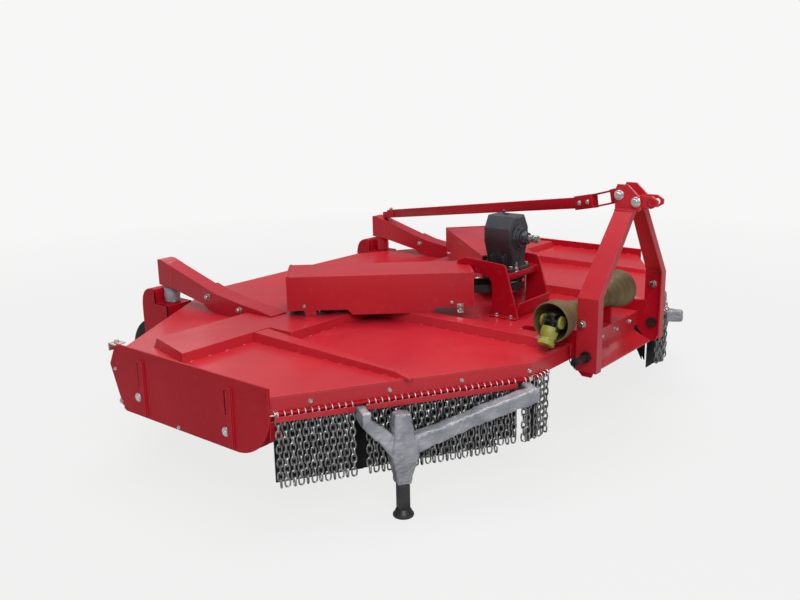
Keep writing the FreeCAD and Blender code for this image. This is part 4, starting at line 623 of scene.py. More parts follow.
stand = bmesh.new()
for side in (-1, 1):
    cut_plate(stand, cheek_shape, side * cheek_x, 0.008)
    block(stand, at(side * 0.164, 0.437, 0.5165), (0.028, 0.142, 0.0075), bevel=0.0015)
    block(stand, at(side * 0.096, 0.528, shelf_z), (0.092, 0.176, 0.008), bevel=0.001)
for y in (0.459, 0.597):
    block(stand, at(0.0, y, shelf_z), (0.11, 0.038, 0.008), bevel=0.001)
block(stand, at(0.0, 0.4425, shelf_z - 0.012), (0.284, 0.006, 0.028), bevel=0.0015)
slope = Matrix.Rotation(0.28, 4, "X")
block(stand, at(0.0, 0.380, 0.549), (0.284, 0.007, 0.074), slope, 0.0015)
settle("stand_plates", stand, shaded_red_enamel, stands_for=("gearbox_stand",))
studs = bmesh.new()
for x, y in ((-0.066, 0.462), (0.066, 0.462), (-0.066, 0.594), (0.066, 0.594)):
    hex_bolt(studs, at(x, y, shelf_z + 0.016), (0, 0, 1), across=0.019, tall=0.011, washer=0.013, turn=0.2)
    hex_bolt(studs, at(x, y, shelf_z - 0.004), (0, 0, -1), across=0.019, tall=0.013, washer=0.014)
rod_piece(studs, at(-0.036, 0.452, shelf_z + 0.012), at(-0.036, 0.452, shelf_z + 0.046), 0.0065)
hex_bolt(studs, at(-0.036, 0.452, shelf_z + 0.004), (0, 0, 1), across=0.021, tall=0.013, washer=0.015)
rod_piece(studs, at(0.052, 0.455, 0.5125), at(0.052, 0.455, shelf_z - 0.005), 0.005)
for side in (-1, 1):
    for y in (0.395, 0.47):
        hex_bolt(studs, at(side * 0.167, y, 0.5203), (0, 0, 1), across=0.017, tall=0.009, washer=0.012)
settle("stand_bolts", studs, zinc)
stand_seams = bmesh.new()
for side in (-1, 1):
    for x, z, start, end in ((0.141, shelf_z + 0.005, 0.45, 0.61), (0.179, seam_z, 0.37, 0.5)):
        stitch_weld(stand_seams, at(side * x, start, z), at(side * x, end, z), 0.05)
settle("stand_welds", stand_seams, shaded_red_enamel)

# ---------------------------------------------------------------- gearbox and input shaft
# A bevel gearbox of cast iron under charcoal paint, with a bolted bearing cap, oil
# plugs and a breather. The splined shaft at its front is bare, oiled steel.
cast_charcoal = new_finish("cast_charcoal", Specular_IOR_Level=0.55)
cast_tone = tones(cast_charcoal, grain(cast_charcoal, 16.0, 5.0), (0.3, (0.013, 0.014, 0.017)),
                  (0.55, (0.024, 0.026, 0.031)), (0.75, (0.042, 0.045, 0.053)))
place = cast_charcoal.node_tree.nodes.new("ShaderNodeTexCoord")
height = cast_charcoal.node_tree.nodes.new("ShaderNodeSeparateXYZ")
cast_charcoal.node_tree.links.new(place.outputs["Object"], height.inputs[0])
# Lighter charcoal towards the top of the casting, by height.
lighter_near_top = mix_tones(cast_charcoal, height.outputs["Z"], cast_tone, (0.060, 0.064, 0.073), 0.84, 0.95)
# The lighter charcoal along the casting's edges, from the edge mask, is a painted highlight.
colour_from(cast_charcoal, mix_tones(cast_charcoal, edge_mask(cast_charcoal, 0.004), lighter_near_top,
                                     (0.11, 0.115, 0.13), 0.03, 0.5))
gloss_from(cast_charcoal, grain(cast_charcoal, 24.0, 3.0), 0.38, 0.6)
relief(cast_charcoal, 0.004, (grain(cast_charcoal, 170.0, 4.0), 0.0007))
cap_y = 0.433
cap_bolts = 0.053
shaft_z = 0.86


def turned_piece(bm, profile, place, steps=40):
    """Spins an outline of (distance along Z, radius) points about the Z of its place."""
    verts = [bm.verts.new(place @ Vector((radius, 0.0, along_z))) for along_z, radius in profile]
    edges = [bm.edges.new(pair) for pair in zip(verts, verts[1:])]
    if profile[0][1] > 0.0 and profile[-1][1] > 0.0:
        edges.append(bm.edges.new((verts[-1], verts[0])))
    old = set(bm.verts) - set(verts)
    bmesh.ops.spin(bm, geom=verts + edges, cent=place.translation, axis=place.col[2].xyz, dvec=(0, 0, 0),
                   angle=2 * math.pi, steps=steps, use_merge=True, use_normal_flip=False, use_duplicate=False)
    if 0.0 in (profile[0][1], profile[-1][1]):
        fresh = [vert for vert in bm.verts if vert not in old]
        bmesh.ops.remove_doubles(bm, verts=fresh, dist=1e-6)


def casting_ring(bm, y, points):
    """One closed outline of (x, z) points across the casting, for bridging to the next."""
    ring = [bm.verts.new(at(x, y, z)) for x, z in points]
    return [bm.edges.new(pair) for pair in zip(ring, ring[1:] + ring[:1])]


# The housing is an octagon across the shaft, with a neck down to its bolted foot.
casting = bmesh.new()
wide = [(-0.048, 0.962), (0.048, 0.962), (0.080, 0.906), (0.080, 0.842), (0.052, 0.768), (0.050, 0.722),
        (-0.050, 0.722), (-0.052, 0.768), (-0.080, 0.842), (-0.080, 0.906)]
rings = [casting_ring(casting, y, [(x * k, 0.86 + (z - 0.86) * (k if z > 0.8 else 1.0)) for x, z in wide])
         for y, k in ((0.457, 0.90), (0.464, 1.0), (0.598, 1.0), (0.605, 0.90))]
for near, far in zip(rings, rings[1:]):
    bmesh.ops.bridge_loops(casting, edges=near + far)
for end in (rings[0], rings[-1]):
    bmesh.ops.contextual_create(casting, geom=end)
block(casting, at(0.0, 0.528, 0.715), (0.168, 0.162, 0.016), bevel=0.003)
for radius, start, end in ((0.058, 0.459, 0.448), (0.048, 0.449, 0.436), (0.030, 0.437, 0.428)):
    deep = start - end
    turned_piece(casting, [(0.0, 0.0), (0.0, radius), (deep - 0.003, radius), (deep, radius - 0.003),
                           (deep, 0.0)], facing(at(0.0, start, shaft_z), (0, -1, 0)), 36)
for angle in range(0, 360, 60):
    around = math.radians(angle)
    block(casting, at(cap_bolts * math.cos(around), 0.4535, shaft_z + cap_bolts * math.sin(around)),
          (0.016, 0.010, 0.016), bevel=0.003)
for side in (-1, 1):
    for y in (0.50, 0.562):
        lean = Matrix.Rotation(side * 0.3, 4, "Y")
        block(casting, at(side * 0.06, y, 0.752), (0.03, 0.009, 0.062), lean, 0.002)
settle("gearbox_casting", casting, cast_charcoal, smooth=28.0, stands_for=("gearbox",))
fittings = bmesh.new()
for k in range(6):
    angle = math.radians(60 * k)
    hex_bolt(fittings, at(cap_bolts * math.cos(angle), 0.4485, shaft_z + cap_bolts * math.sin(angle)),
             (0, -1, 0), across=0.011, tall=0.005, washer=0.0)
hex_bolt(fittings, at(0.0, 0.53, 0.962), (0, 0, 1), across=0.02, tall=0.006, washer=0.0)
rod_piece(fittings, at(0.022, 0.558, 0.960), at(0.022, 0.558, 0.972), 0.006)
bmesh.ops.create_uvsphere(fittings, u_segments=12, v_segments=8, radius=0.009,
                          matrix=Matrix.Translation(at(0.022, 0.558, 0.974)) @ Matrix.Diagonal((1, 1, 0.7, 1)))
settle("gearbox_fittings", fittings, cast_charcoal)

seal = bmesh.new()
for depth, radius in ((0.012, 0.034), (0.02, 0.0285)):
    bmesh.ops.create_cone(seal, cap_ends=True, segments=6 if depth < 0.015 else 28, radius1=radius,
                          radius2=radius * 0.94, depth=depth,
                          matrix=facing(at(0.0, 0.430 - depth / 2, shaft_z), (0, -1, 0)))
bmesh.ops.create_cone(seal, cap_ends=True, segments=32, radius1=0.0262, radius2=0.0262, depth=0.002,
                      matrix=facing(at(0.0, 0.4095, shaft_z), (0, -1, 0)))
settle("shaft_seal", seal, cast_charcoal)

bare_steel = grained("bare_steel", (26.0, 5.0, (1, 6, 1)),
                     ((0.3, (0.30, 0.29, 0.27)), (0.7, (0.58, 0.57, 0.55))),
                     (60.0, 3.0, (1, 8, 1), 0.2, 0.38), (0.0006, 240.0, 2.0, (1, 5, 1), 0.00012),
                     Metallic=1.0)
coat(bare_steel, "drive_shaft")


splined = bmesh.new()
shaft_place = facing(at(0.0, cap_y + 0.056, shaft_z), (0, -1, 0))
turned_piece(splined, [(0.0, 0.0), (0.0, 0.0238), (0.056, 0.0238), (0.056, 0.0152), (0.104, 0.0152),
                       (0.105, 0.0125), (0.113, 0.0125), (0.114, 0.0152), (0.133, 0.0152),
                       (0.136, 0.012), (0.136, 0.0)], shaft_place)
for k in range(6):
    around = Matrix.Rotation(math.radians(60 * k), 4, "Z")
    for start, end in ((0.066, 0.1045), (0.1135, 0.132)):
        block_place = shaft_place @ around @ Matrix.Translation((0.0145, 0.0, (start + end) / 2))
        bmesh.ops.create_cube(splined, size=1.0,
                              matrix=block_place @ Matrix.Diagonal((0.0058, 0.0082, end - start, 1.0)))
settle("splined_shaft", splined, bare_steel, body="input_shaft", stands_for=("input_shaft",))

# ---------------------------------------------------------------- spindles, rotors and blades
# Each rotor turns in a cast housing bolted to the beam. Its plate carrier swings two
# forged blades on shouldered bolts.
coat(cast_charcoal, *both("spindle", "rotor"))
forged = grained("forged_steel", (30.0, 6.0), ((0.35, (0.05, 0.05, 0.055)), (0.7, (0.16, 0.15, 0.14))),
                 (45.0, 4.0, 0.35, 0.6), (0.002, 120.0, 4.0, 0.0004), Metallic=0.9)
coat(forged, *both("blades"))
rotor_x, rotor_y = 0.68, 1.15
flange_ring, blade_pivot = 0.079, 0.4
carrier_low, carrier_high = 0.33, 0.346
flange_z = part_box("spindle_left")[1][2]
for side_name, side in (("left", -1), ("right", 1)):
    flange_bolts = bmesh.new()
    for k in range(8):
        angle = math.radians(45 * k + 22.5)
        spot = at(side * rotor_x + flange_ring * math.cos(angle), rotor_y + flange_ring * math.sin(angle),
                  flange_z)
        hex_bolt(flange_bolts, spot, (0, 0, 1), across=0.015, tall=0.008, washer=0.0)
    settle("spindle_bolts_" + side_name, flange_bolts, zinc)
    blade_bolts = bmesh.new()
    for way in (-1, 1):
        x = side * rotor_x + way * blade_pivot
        hex_bolt(blade_bolts, at(x, rotor_y, carrier_high), (0, 0, 1), across=0.03, tall=0.016, washer=0.026)
        hex_bolt(blade_bolts, at(x, rotor_y, carrier_low - 0.0103), (0, 0, -1), across=0.034, tall=0.01,
                 washer=0.024)
    hex_bolt(blade_bolts, at(side * rotor_x, rotor_y, 0.304), (0, 0, -1), across=0.04, tall=0.016, washer=0.034)
    settle("blade_bolts_" + side_name, blade_bolts, forged, body="rotor_" + side_name)

# ---------------------------------------------------------------- belts and covers
# Banded rubber belts run under folded sheet covers, which stand on feet on the beam
# and are held down by small bolts through their front walls.
belt_rubber = grained("belt_rubber", (40.0, 4.0),
                      ((0.3, (0.014, 0.014, 0.014)), (0.7, (0.034, 0.033, 0.032))), (60.0, 3.0, 0.55, 0.8),
                      (0.001, 300.0, 2.0, (1, 1, 4), 0.0003), Specular_IOR_Level=0.3)
coat(belt_rubber, *both("belt"))
coat(red_enamel, *both("belt_cover"))
cover_turn = math.radians(48.36)
cover_half, cover_low, cover_top = 0.132, 0.577, 0.734
for side_name, side in (("left", -1), ("right", 1)):
    centre = Vector((side * 0.4453, 0.936))
    run_way = Vector((side * math.cos(cover_turn), math.sin(cover_turn)))
    wall_way = Vector((side * math.sin(cover_turn), -math.cos(cover_turn)))

    def on_cover(run, out, z):
        flat = centre + run_way * run + wall_way * out
        return at(flat.x, flat.y, z)

    bolts = bmesh.new()
    wall_out = (wall_way.x, wall_way.y, 0.0)
    for run in (0.345, -0.322):
        hex_bolt(bolts, on_cover(run, cover_half, cover_low + 0.02), wall_out, across=0.012, tall=0.006,
                 washer=0.009)
        hex_bolt(bolts, on_cover(run, -cover_half, cover_low + 0.02), (-wall_way.x, -wall_way.y, 0.0),
                 across=0.012, tall=0.006, washer=0.009)
    settle("cover_bolts_" + side_name, bolts, zinc)
    hinge = bmesh.new()
    spin_z = Matrix.Rotation(math.atan2(run_way.y, run_way.x), 4, "Z")
    block(hinge, on_cover(-0.36, cover_half + 0.0025, 0.572), (0.03, 0.004, 0.036), spin_z, 0.0015)
    block(hinge, on_cover(-0.36, cover_half + 0.012, 0.5545), (0.03, 0.022, 0.004), spin_z, 0.0015)
    hex_bolt(hinge, on_cover(-0.36, cover_half + 0.013, 0.5565), (0, 0, 1), across=0.011, tall=0.005,
             washer=0.008)
    settle("cover_clip_" + side_name, hinge, zinc)
    seam = bmesh.new()
    for run in (-0.418, 0.4185):
        block(seam, on_cover(run, 0.0, cover_top + 0.0012), (0.012, cover_half * 2, 0.0024), spin_z, 0.0008)
    settle("cover_hems_" + side_name, seam, red_enamel)

# ---------------------------------------------------------------- hitch and A-frame
# Bent channel legs stand on bolted foot plates and meet in a two-cheek head. The category 2 lower pins, held by
# lynch pins, are coloured near black as painted shade of the dark pin holes.
coat(shaded_red_enamel, *both("hitch_bracket"))
coat(red_enamel, "mast_head", "top_link_bracket", "front_lip", *both("mast_leg"))
# Near-black pin finish: painted shade of the pin holes.
pin_shade_black = grained("pin_shade_black", (40.0, 4.0), ((0.3, (0.02, 0.018, 0.018)), (0.7, (0.06, 0.05, 0.05))),
                      (50.0, 3.0, 0.35, 0.55), Metallic=0.6)
coat(pin_shade_black, *both("hitch_pin"))
pin_y, pin_z = -0.072, 0.468
leg_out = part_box("mast_leg_right")[1][0]
for side_name, side in (("left", -1), ("right", 1)):
    joints = bmesh.new()
    hex_bolt(joints, at(side * leg_out, -0.050, 0.602), (side, 0, 0), across=0.023, tall=0.012,
             washer=0.017, turn=0.3)
    hex_bolt(joints, at(side * 0.313, -0.070, 0.65), (-side, 0, 0), across=0.025, tall=0.014, washer=0.018)
    for y in (0.06, 0.16, 0.24):
        hex_bolt(joints, at(side * 0.337, y, deck_top + 0.012), (0, 0, 1), across=0.017, tall=0.009,
                 washer=0.012)
    settle("hitch_bolts_" + side_name, joints, zinc)
    foot_angle = bmesh.new()
    block(foot_angle, at(side * 0.3385, 0.145, deck_top + 0.0065), (0.026, 0.23, 0.0115), bevel=0.002)
    block(foot_angle, at(side * 0.3465, -0.012, 0.487), (0.0275, 0.006, 0.048), bevel=0.0015)
    settle("hitch_feet_" + side_name, foot_angle, shaded_red_enamel)
    lynch = bmesh.new()
    eye = at(side * 0.431, pin_y, pin_z)
    rod_piece(lynch, eye + Vector((0, 0, -0.024)), eye + Vector((0, 0, 0.028)), 0.0045)
    wire_ring(lynch, facing(eye + Vector((side * 0.004, 0, 0.008)), (1, 0, 0.25)), 0.021, 0.0019, 8, 24)
    settle("lynch_pin_" + side_name, lynch, pin_shade_black)

apex = bmesh.new()
for y, z in ((-0.052, 1.098), (-0.128, 1.074)):
    for side in (-1, 1):
        spot = at(side * 0.048, y, z)
        turned_piece(apex, [(0.0, 0.0), (0.0, 0.0215), (0.003, 0.0215), (0.0045, 0.020), (0.0045, 0.0145),
                            (0.016, 0.0145), (0.018, 0.0125), (0.018, 0.0)], facing(spot, (side, 0, 0)), 28)
        middle = spot + Vector((side * 0.0105, 0, 0))
        rod_piece(apex, middle + Vector((0, 0, -0.019)), middle + Vector((0, 0, 0.019)), 0.0022, 8)
settle("apex_pins", apex, bright_zinc)
bushes = bmesh.new()
for side in (-1, 1):
    turned_piece(bushes, [(0.0, 0.0129), (0.0, 0.0185), (0.0032, 0.0185), (0.004, 0.0175), (0.004, 0.0129)],
                 facing(at(side * 0.033, -0.19, 1.074), (side, 0, 0)), 28)
settle("top_link_bushes", bushes, shaded_red_enamel, body="top_link_bracket")
lip_bolts = bmesh.new()
for x in (-0.21, -0.07, 0.07, 0.21):
    hex_bolt(lip_bolts, at(x, -0.0053, 0.482), (0, -1, 0), across=0.017, tall=0.008, washer=0.012)
settle("lip_bolts", lip_bolts, zinc)

# ---------------------------------------------------------------- brace
# A long flat bar ties the head to the right rear arm. At the head it forks into two
# straps clamped to a block by through bolts.
arm_x = 0.83
brace_way = [(-0.052, 1.096), (0.118, 1.048), (0.215, 1.026), (1.9617, 0.738)]


def on_brace(y, out=0.0, up=0.0):
    """A point of the brace's line, found between its bends."""
    for (ya, za), (yb, zb) in zip(brace_way, brace_way[1:]):
        if y <= yb:
            break
    (start_y, _), (end_y, _) = brace_way[0], brace_way[-1]
    x = arm_x * (y - start_y) / (end_y - start_y) + out
    return at(x, y, za + (zb - za) * (y - ya) / (yb - ya) + up)


def bar_between(bm, start, end, wide, high, bevel=0.002):
    """A straight bar of a rectangular section, its height kept upright."""
    run = end - start
    ahead = run.normalized()
    aside = Vector((ahead.y, -ahead.x, 0.0)).normalized()
    turn = Matrix((aside, ahead, aside.cross(ahead))).transposed().to_4x4()
    block(bm, start + run / 2, (wide, run.length, high), turn, bevel)


brace = bmesh.new()
bar_between(brace, on_brace(0.20), on_brace(1.93), 0.022, 0.050)
bar_between(brace, on_brace(0.115), on_brace(0.225), 0.036, 0.062)
bar_between(brace, on_brace(1.86), on_brace(1.975, 0.0, -0.006), 0.034, 0.040)
for way in (-1, 1):
    bar_between(brace, on_brace(-0.02, 0.0, way * 0.027), on_brace(0.125, 0.0, way * 0.027), 0.03, 0.006, 0.001)
bar_between(brace, on_brace(-0.045), on_brace(0.0), 0.05, 0.062)
settle("brace_bar", brace, shaded_red_enamel, stands_for=("brace",))
brace_bolts = bmesh.new()
for y in (0.145, 0.195):
    for side in (-1, 1):
        hex_bolt(brace_bolts, on_brace(y, side * 0.0187), (side, 0, 0), across=0.017, tall=0.009, washer=0.0125)
hex_bolt(brace_bolts, on_brace(1.9, 0.0, 0.0235), (0, 0, 1), across=0.019, tall=0.01, washer=0.014)
settle("brace_bolts", brace_bolts, zinc)

# ---------------------------------------------------------------- rear arms and casters
# Tapered tube arms lie in folded channels bolted to the deck. Each ends in a boxed upright sleeve
# for its caster's stem, the left one wound in packing film, above a hooded fork.
swivel_y, trail_y, wheel_r = 2.0, 0.11, 0.2
arm_enamel = red_enamel_coat("arm_enamel", (0.44, 0.008, 0.024), (0.54, 0.013, 0.028))
film = new_finish("packing_film", Coat_Weight=0.7, Coat_Roughness=0.12, Specular_IOR_Level=0.6)
film_cloud = tones(film, grain(film, 12.0, 3.0, (1.0, 1.0, 1.6)), (0.28, (0.20, 0.21, 0.24)),
                   (0.5, (0.31, 0.32, 0.355)), (0.72, (0.44, 0.45, 0.49)))
colour_from(film, film_cloud)
gloss_from(film, grain(film, 30.0, 4.0), 0.18, 0.45)
relief(film, 0.001, (grain(film, 22.0, 4.0, (1.0, 1.0, 2.6)), 0.009), (grain(film, 90.0, 2.0), 0.0006))
for side_name, side in (("left", -1), ("right", 1)):
    arm = bmesh.new()
    tube = [(1.965, 0.590), (1.965, 0.708), (1.60, 0.602), (1.60, 0.530), (1.74, 0.548)]
    cut_plate(arm, tube, side * arm_x, 0.080)
    for way in (-1, 1):
        boxed = [(1.945, 0.586), (2.044, 0.594), (2.044, 0.722), (2.012, 0.722), (1.945, 0.7022)]
        cut_plate(arm, boxed, side * arm_x + way * 0.0405, 0.004)
    lid = [(1.955, 0.7052), (2.012, 0.722), (2.044, 0.722), (2.044, 0.594)]
    bent_strip(arm, lid, side * arm_x, 0.080, 0.004)
    cut_plate(arm, [(1.69, 0.540), (1.69, 0.633), (1.60, 0.608), (1.43, 0.584), (1.30, 0.572), (1.215, 0.5575),
                    (1.215, 0.5535), (1.385, 0.5535), (1.385, 0.5128), (1.61, 0.5128), (1.66, 0.522)],
              side * arm_x, 0.094)
    turned_piece(arm, [(0.118, 0.0), (0.118, 0.0235), (0.0, 0.0235), (0.0, 0.038), (0.127, 0.038),
                       (0.130, 0.035), (0.130, 0.0)], Matrix.Translation(at(side * arm_x, swivel_y, 0.582)), 36)
    settle("arm_tube_" + side_name, arm, arm_enamel,
           stands_for=("rear_arm_" + side_name, "arm_bracket_" + side_name))
    pivots = bmesh.new()
    for y, z in ((1.43, 0.553), (1.655, 0.585)):
        for way in (-1, 1):
            hex_bolt(pivots, at(side * arm_x + way * 0.0471, y, z), (way, 0, 0), across=0.021, tall=0.012,
                     washer=0.016, turn=0.25)
    settle("arm_bolts_" + side_name, pivots, zinc)

    sleeve = bmesh.new()
    turned_piece(sleeve, [(0.0, 0.026), (0.0, 0.0372), (0.004, 0.0405), (0.02, 0.0385), (0.034, 0.041),
                          (0.052, 0.0388), (0.066, 0.0412), (0.0755, 0.039), (0.0755, 0.026)],
                 Matrix.Translation(at(side * arm_x, swivel_y, 0.506)), 36)
    for vert in sleeve.verts:
        if (vert.co.xy - at(side * arm_x, swivel_y, 0).xy).length > 0.034:
            # Three steady noises, because noise_vector takes its offsets from the clock.
            vert.co += Vector([noise.noise(vert.co * 45.0 + Vector((0, 0, shift)))
                               for shift in (0.0, 19.1, 38.2)]) * 0.0022
    settle("caster_tube_" + side_name, sleeve, film if side < 0 else arm_enamel)

    # The fork's crown, hood and sides are bent and cut plate, welded.
    fork = bmesh.new()
    crown_z = 0.4985
    turned_piece(fork, [(0.0, 0.0), (0.0, 0.0375), (0.0055, 0.0375), (0.0055, 0.0218), (0.18, 0.0218),
                        (0.183, 0.019), (0.183, 0.0)],
                 Matrix.Translation(at(side * arm_x, swivel_y, crown_z)), 32)
    hood_path = [(-0.048, 0.432), (-0.048, 0.498), (0.047, 0.498), (0.047, 0.554), (0.056, 0.568),
                 (0.076, 0.5735), (0.102, 0.569), (0.126, 0.553), (0.143, 0.526), (0.151, 0.49), (0.152, 0.432)]
    hood = [(swivel_y + y, z) for y, z in hood_path]
    bent_strip(fork, hood, side * arm_x, 0.156, 0.006)
    outline = hood_path + [(0.146, 0.24), (0.14, 0.185), (0.125, 0.172), (0.095, 0.172), (0.08, 0.185),
                           (0.066, 0.24)]
    for way in (-1, 1):
        rim = [fork.verts.new(at(side * arm_x + way * 0.07, swivel_y + y, z)) for y, z in outline]
        cheek = fork.faces.new(rim)
        solid = bmesh.ops.extrude_face_region(fork, geom=[cheek])
        moved = [item for item in solid["geom"] if isinstance(item, bmesh.types.BMVert)]
        bmesh.ops.translate(fork, verts=moved, vec=(way * 0.009, 0, 0))
    settle("caster_hood_" + side_name, fork, shaded_red_enamel, body="caster_" + side_name,
           stands_for=("caster_fork_" + side_name,))
    axle = bmesh.new()
    hub = at(side * arm_x, swivel_y + trail_y, wheel_r)
    rod_piece(axle, hub + Vector((-0.09, 0, 0)), hub + Vector((0.09, 0, 0)), 0.0135, 24)
    for way in (-1, 1):
        hex_bolt(axle, hub + Vector((way * 0.0795, 0, 0)), (way, 0, 0), across=0.036, tall=0.0085, washer=0.024)
    settle("axle_" + side_name, axle, zinc, body="caster_" + side_name)

# ---------------------------------------------------------------- wheels
# Rib-tread implement tyres of moulded rubber on pressed steel discs with a silver enamel, each held
# to its hub by five studs and nuts.
tyre_rubber = grained("tyre_rubber", (22.0, 6.0),
                      ((0.3, (0.013, 0.013, 0.013)), (0.6, (0.025, 0.024, 0.023)), (0.8, (0.06, 0.055, 0.05))),
                      (35.0, 4.0, 0.6, 0.85), (0.001, 260.0, 3.0, 0.0003), Specular_IOR_Level=0.35)
rim_enamel = grained("rim_enamel", (12.0, 5.0), ((0.3, (0.46, 0.46, 0.46)), (0.7, (0.6, 0.6, 0.59))),
                     (26.0, 3.0, 0.3, 0.5), (0.002, 200.0, 2.0, 0.0001), Coat_Weight=0.3)
coat(rim_enamel, *both("wheel_rim"))
tread = [(0.0500, 0.1124), (0.0565, 0.122), (0.0598, 0.142), (0.0592, 0.160), (0.0572, 0.163), (0.0568, 0.167),
         (0.0545, 0.182), (0.0500, 0.192), (0.0480, 0.1975), (0.0455, 0.1988), (0.0330, 0.1995),
         (0.0318, 0.1915), (0.0262, 0.1915), (0.0250, 0.1998), (0.0100, 0.1999), (0.0088, 0.1915),
         (0.0032, 0.1915), (0.0022, 0.1999)]
tyre_profile = tread + [(-x, r) for x, r in reversed(tread)]
for side_name, side in (("left", -1), ("right", 1)):
    hub = at(side * arm_x, swivel_y + trail_y, wheel_r)
    tyre = bmesh.new()
    turned_piece(tyre, tyre_profile, facing(hub, (1, 0, 0)), 72)
    settle("rib_tyre_" + side_name, tyre, tyre_rubber, body="wheel_" + side_name, smooth=35.0,
           stands_for=("tyre_" + side_name,))
    nuts = bmesh.new()
    for k in range(5):
        angle = math.radians(72 * k + 10)
        spot = hub + Vector((0.0105, 0.062 * math.cos(angle), 0.062 * math.sin(angle)))
        hex_bolt(nuts, spot, (1, 0, 0), across=0.017, tall=0.009, washer=0.0)
        rod_piece(nuts, spot, spot + Vector((0.015, 0, 0)), 0.0045)
    rod_piece(nuts, hub + Vector((0.0105, 0.0, 0.094)), hub + Vector((0.034, 0.0, 0.088)), 0.004, 10)
    settle("wheel_nuts_" + side_name, nuts, zinc, body="wheel_" + side_name)

# ---------------------------------------------------------------- front stands and parking legs
# Square sockets on two welded tube arms carry the parking legs. Sockets and arms are
# still wound in grey stretch film for transport; the legs are satin black.
satin_black = new_finish("satin_black", Coat_Weight=0.2)
colour_from(satin_black, mix_tones(satin_black, grain(satin_black, 18.0, 6.0), (0.022, 0.021, 0.022),
                                   (0.055, 0.052, 0.05), 0.35, 0.75))
gloss_from(satin_black, grain(satin_black, 26.0, 4.0), 0.34, 0.55)
relief(satin_black, 0.003, (grain(satin_black, 200.0, 2.0), 0.0002))
leg_x = 1.117
for side_name, side in (("left", -1), ("right", 1)):
    out = Vector((side * slant_y, -slant_x, 0.0))
    aside = Vector((slant_x, side * slant_y, 0.0))
    leg = at(side * leg_x, corner_y - (corner_x - leg_x) * slant_y / slant_x, 0.0) + out * 0.062
    square = Matrix.Rotation(math.atan2(aside.y, aside.x), 4, "Z")
    wound = bmesh.new()
    wound.from_mesh(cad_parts["front_stand_" + side_name].data)
    bmesh.ops.remove_doubles(wound, verts=wound.verts, dist=1e-5)
    block(wound, leg + Vector((0, 0, 0.4035)), (0.076, 0.076, 0.013), square)
    mesh = bpy.data.meshes.new("wound_stand_" + side_name)
    wound.to_mesh(mesh)
    wound.free()
    made = bpy.data.objects.new("film_stand_" + side_name, mesh)
    bpy.context.scene.collection.objects.link(made)
    skin = made.modifiers.new("skin", "REMESH")
    skin.mode = "VOXEL"
    skin.voxel_size = 0.0045
    shaped = bpy.data.meshes.new_from_object(made.evaluated_get(bpy.context.evaluated_depsgraph_get()))
    made.modifiers.clear()
    made.data = shaped
    crumple = bmesh.new()
    crumple.from_mesh(shaped)
    for _ in range(6):
        bmesh.ops.smooth_vert(crumple, verts=crumple.verts, factor=0.5, use_axis_x=True, use_axis_y=True,
                              use_axis_z=True)
    crumple.normal_update()
    for vert in crumple.verts:
        arm = vert.co - leg
        u, v = arm.dot(aside), arm.dot(out)
        reach_out = max(abs(u), abs(v))
        if reach_out < 0.0345 and arm.z < 0.394:
            grow = 0.0262 / max(reach_out, 0.015)
            vert.co += (aside * u + out * v) * (grow - 1.0)
            continue
        bulge = 0.42 * math.exp(-((arm.z - 0.258) / 0.055) ** 2)
        waist = 0.75 + bulge - 0.07 * math.exp(-((arm.z - 0.135) / 0.03) ** 2)
        slim = waist + (1.0 - waist) * min(1.0, max(0.0, (reach_out - 0.045) / 0.06))
        vert.co += (aside * u + out * v) * (slim - 1.0)
        inward = min(1.0, max(0.0, (-side * u - 0.12) / 0.3))
        vert.co += aside * side * 0.05 * inward * inward * (3.0 - 2.0 * inward)
        wrap = noise.noise(Vector((arm.x * 9.0, arm.y * 9.0, arm.z * 26.0 + u * 14.0)))
        fold = abs(noise.noise(Vector((arm.x * 20.0 + 5.0, arm.y * 20.0, arm.z * 34.0 - u * 26.0))))
        knot = 0.008 * math.exp(-((arm.z - 0.29) / 0.08) ** 2) * math.exp(-(u / 0.11) ** 2)
        at_hook = v > -0.12 and vert.co.z > 0.44
        vert.co += vert.normal * ((0.0022 + wrap * 0.0045 - fold * 0.0045 + knot) * (0.1 if at_hook else 1.0))
    crumple.to_mesh(shaped)
    crumple.free()
    shaped.materials.clear()
    shaped.materials.append(film)
    shaped.shade_smooth()
    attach(made, "root")
    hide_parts("front_stand_" + side_name)

    post = bmesh.new()
    block(post, leg + Vector((0, 0, 0.158)), (0.044, 0.044, 0.264), square, 0.005)
    turned_piece(post, [(0.0, 0.0), (0.0, 0.039), (0.003, 0.0405), (0.008, 0.040), (0.016, 0.034),
                        (0.026, 0.0295), (0.030, 0.026), (0.030, 0.0)], Matrix.Translation(leg), 40)
    settle("leg_post_" + side_name, post, satin_black, body="parking_leg_" + side_name,
           stands_for=("parking_leg_" + side_name,))

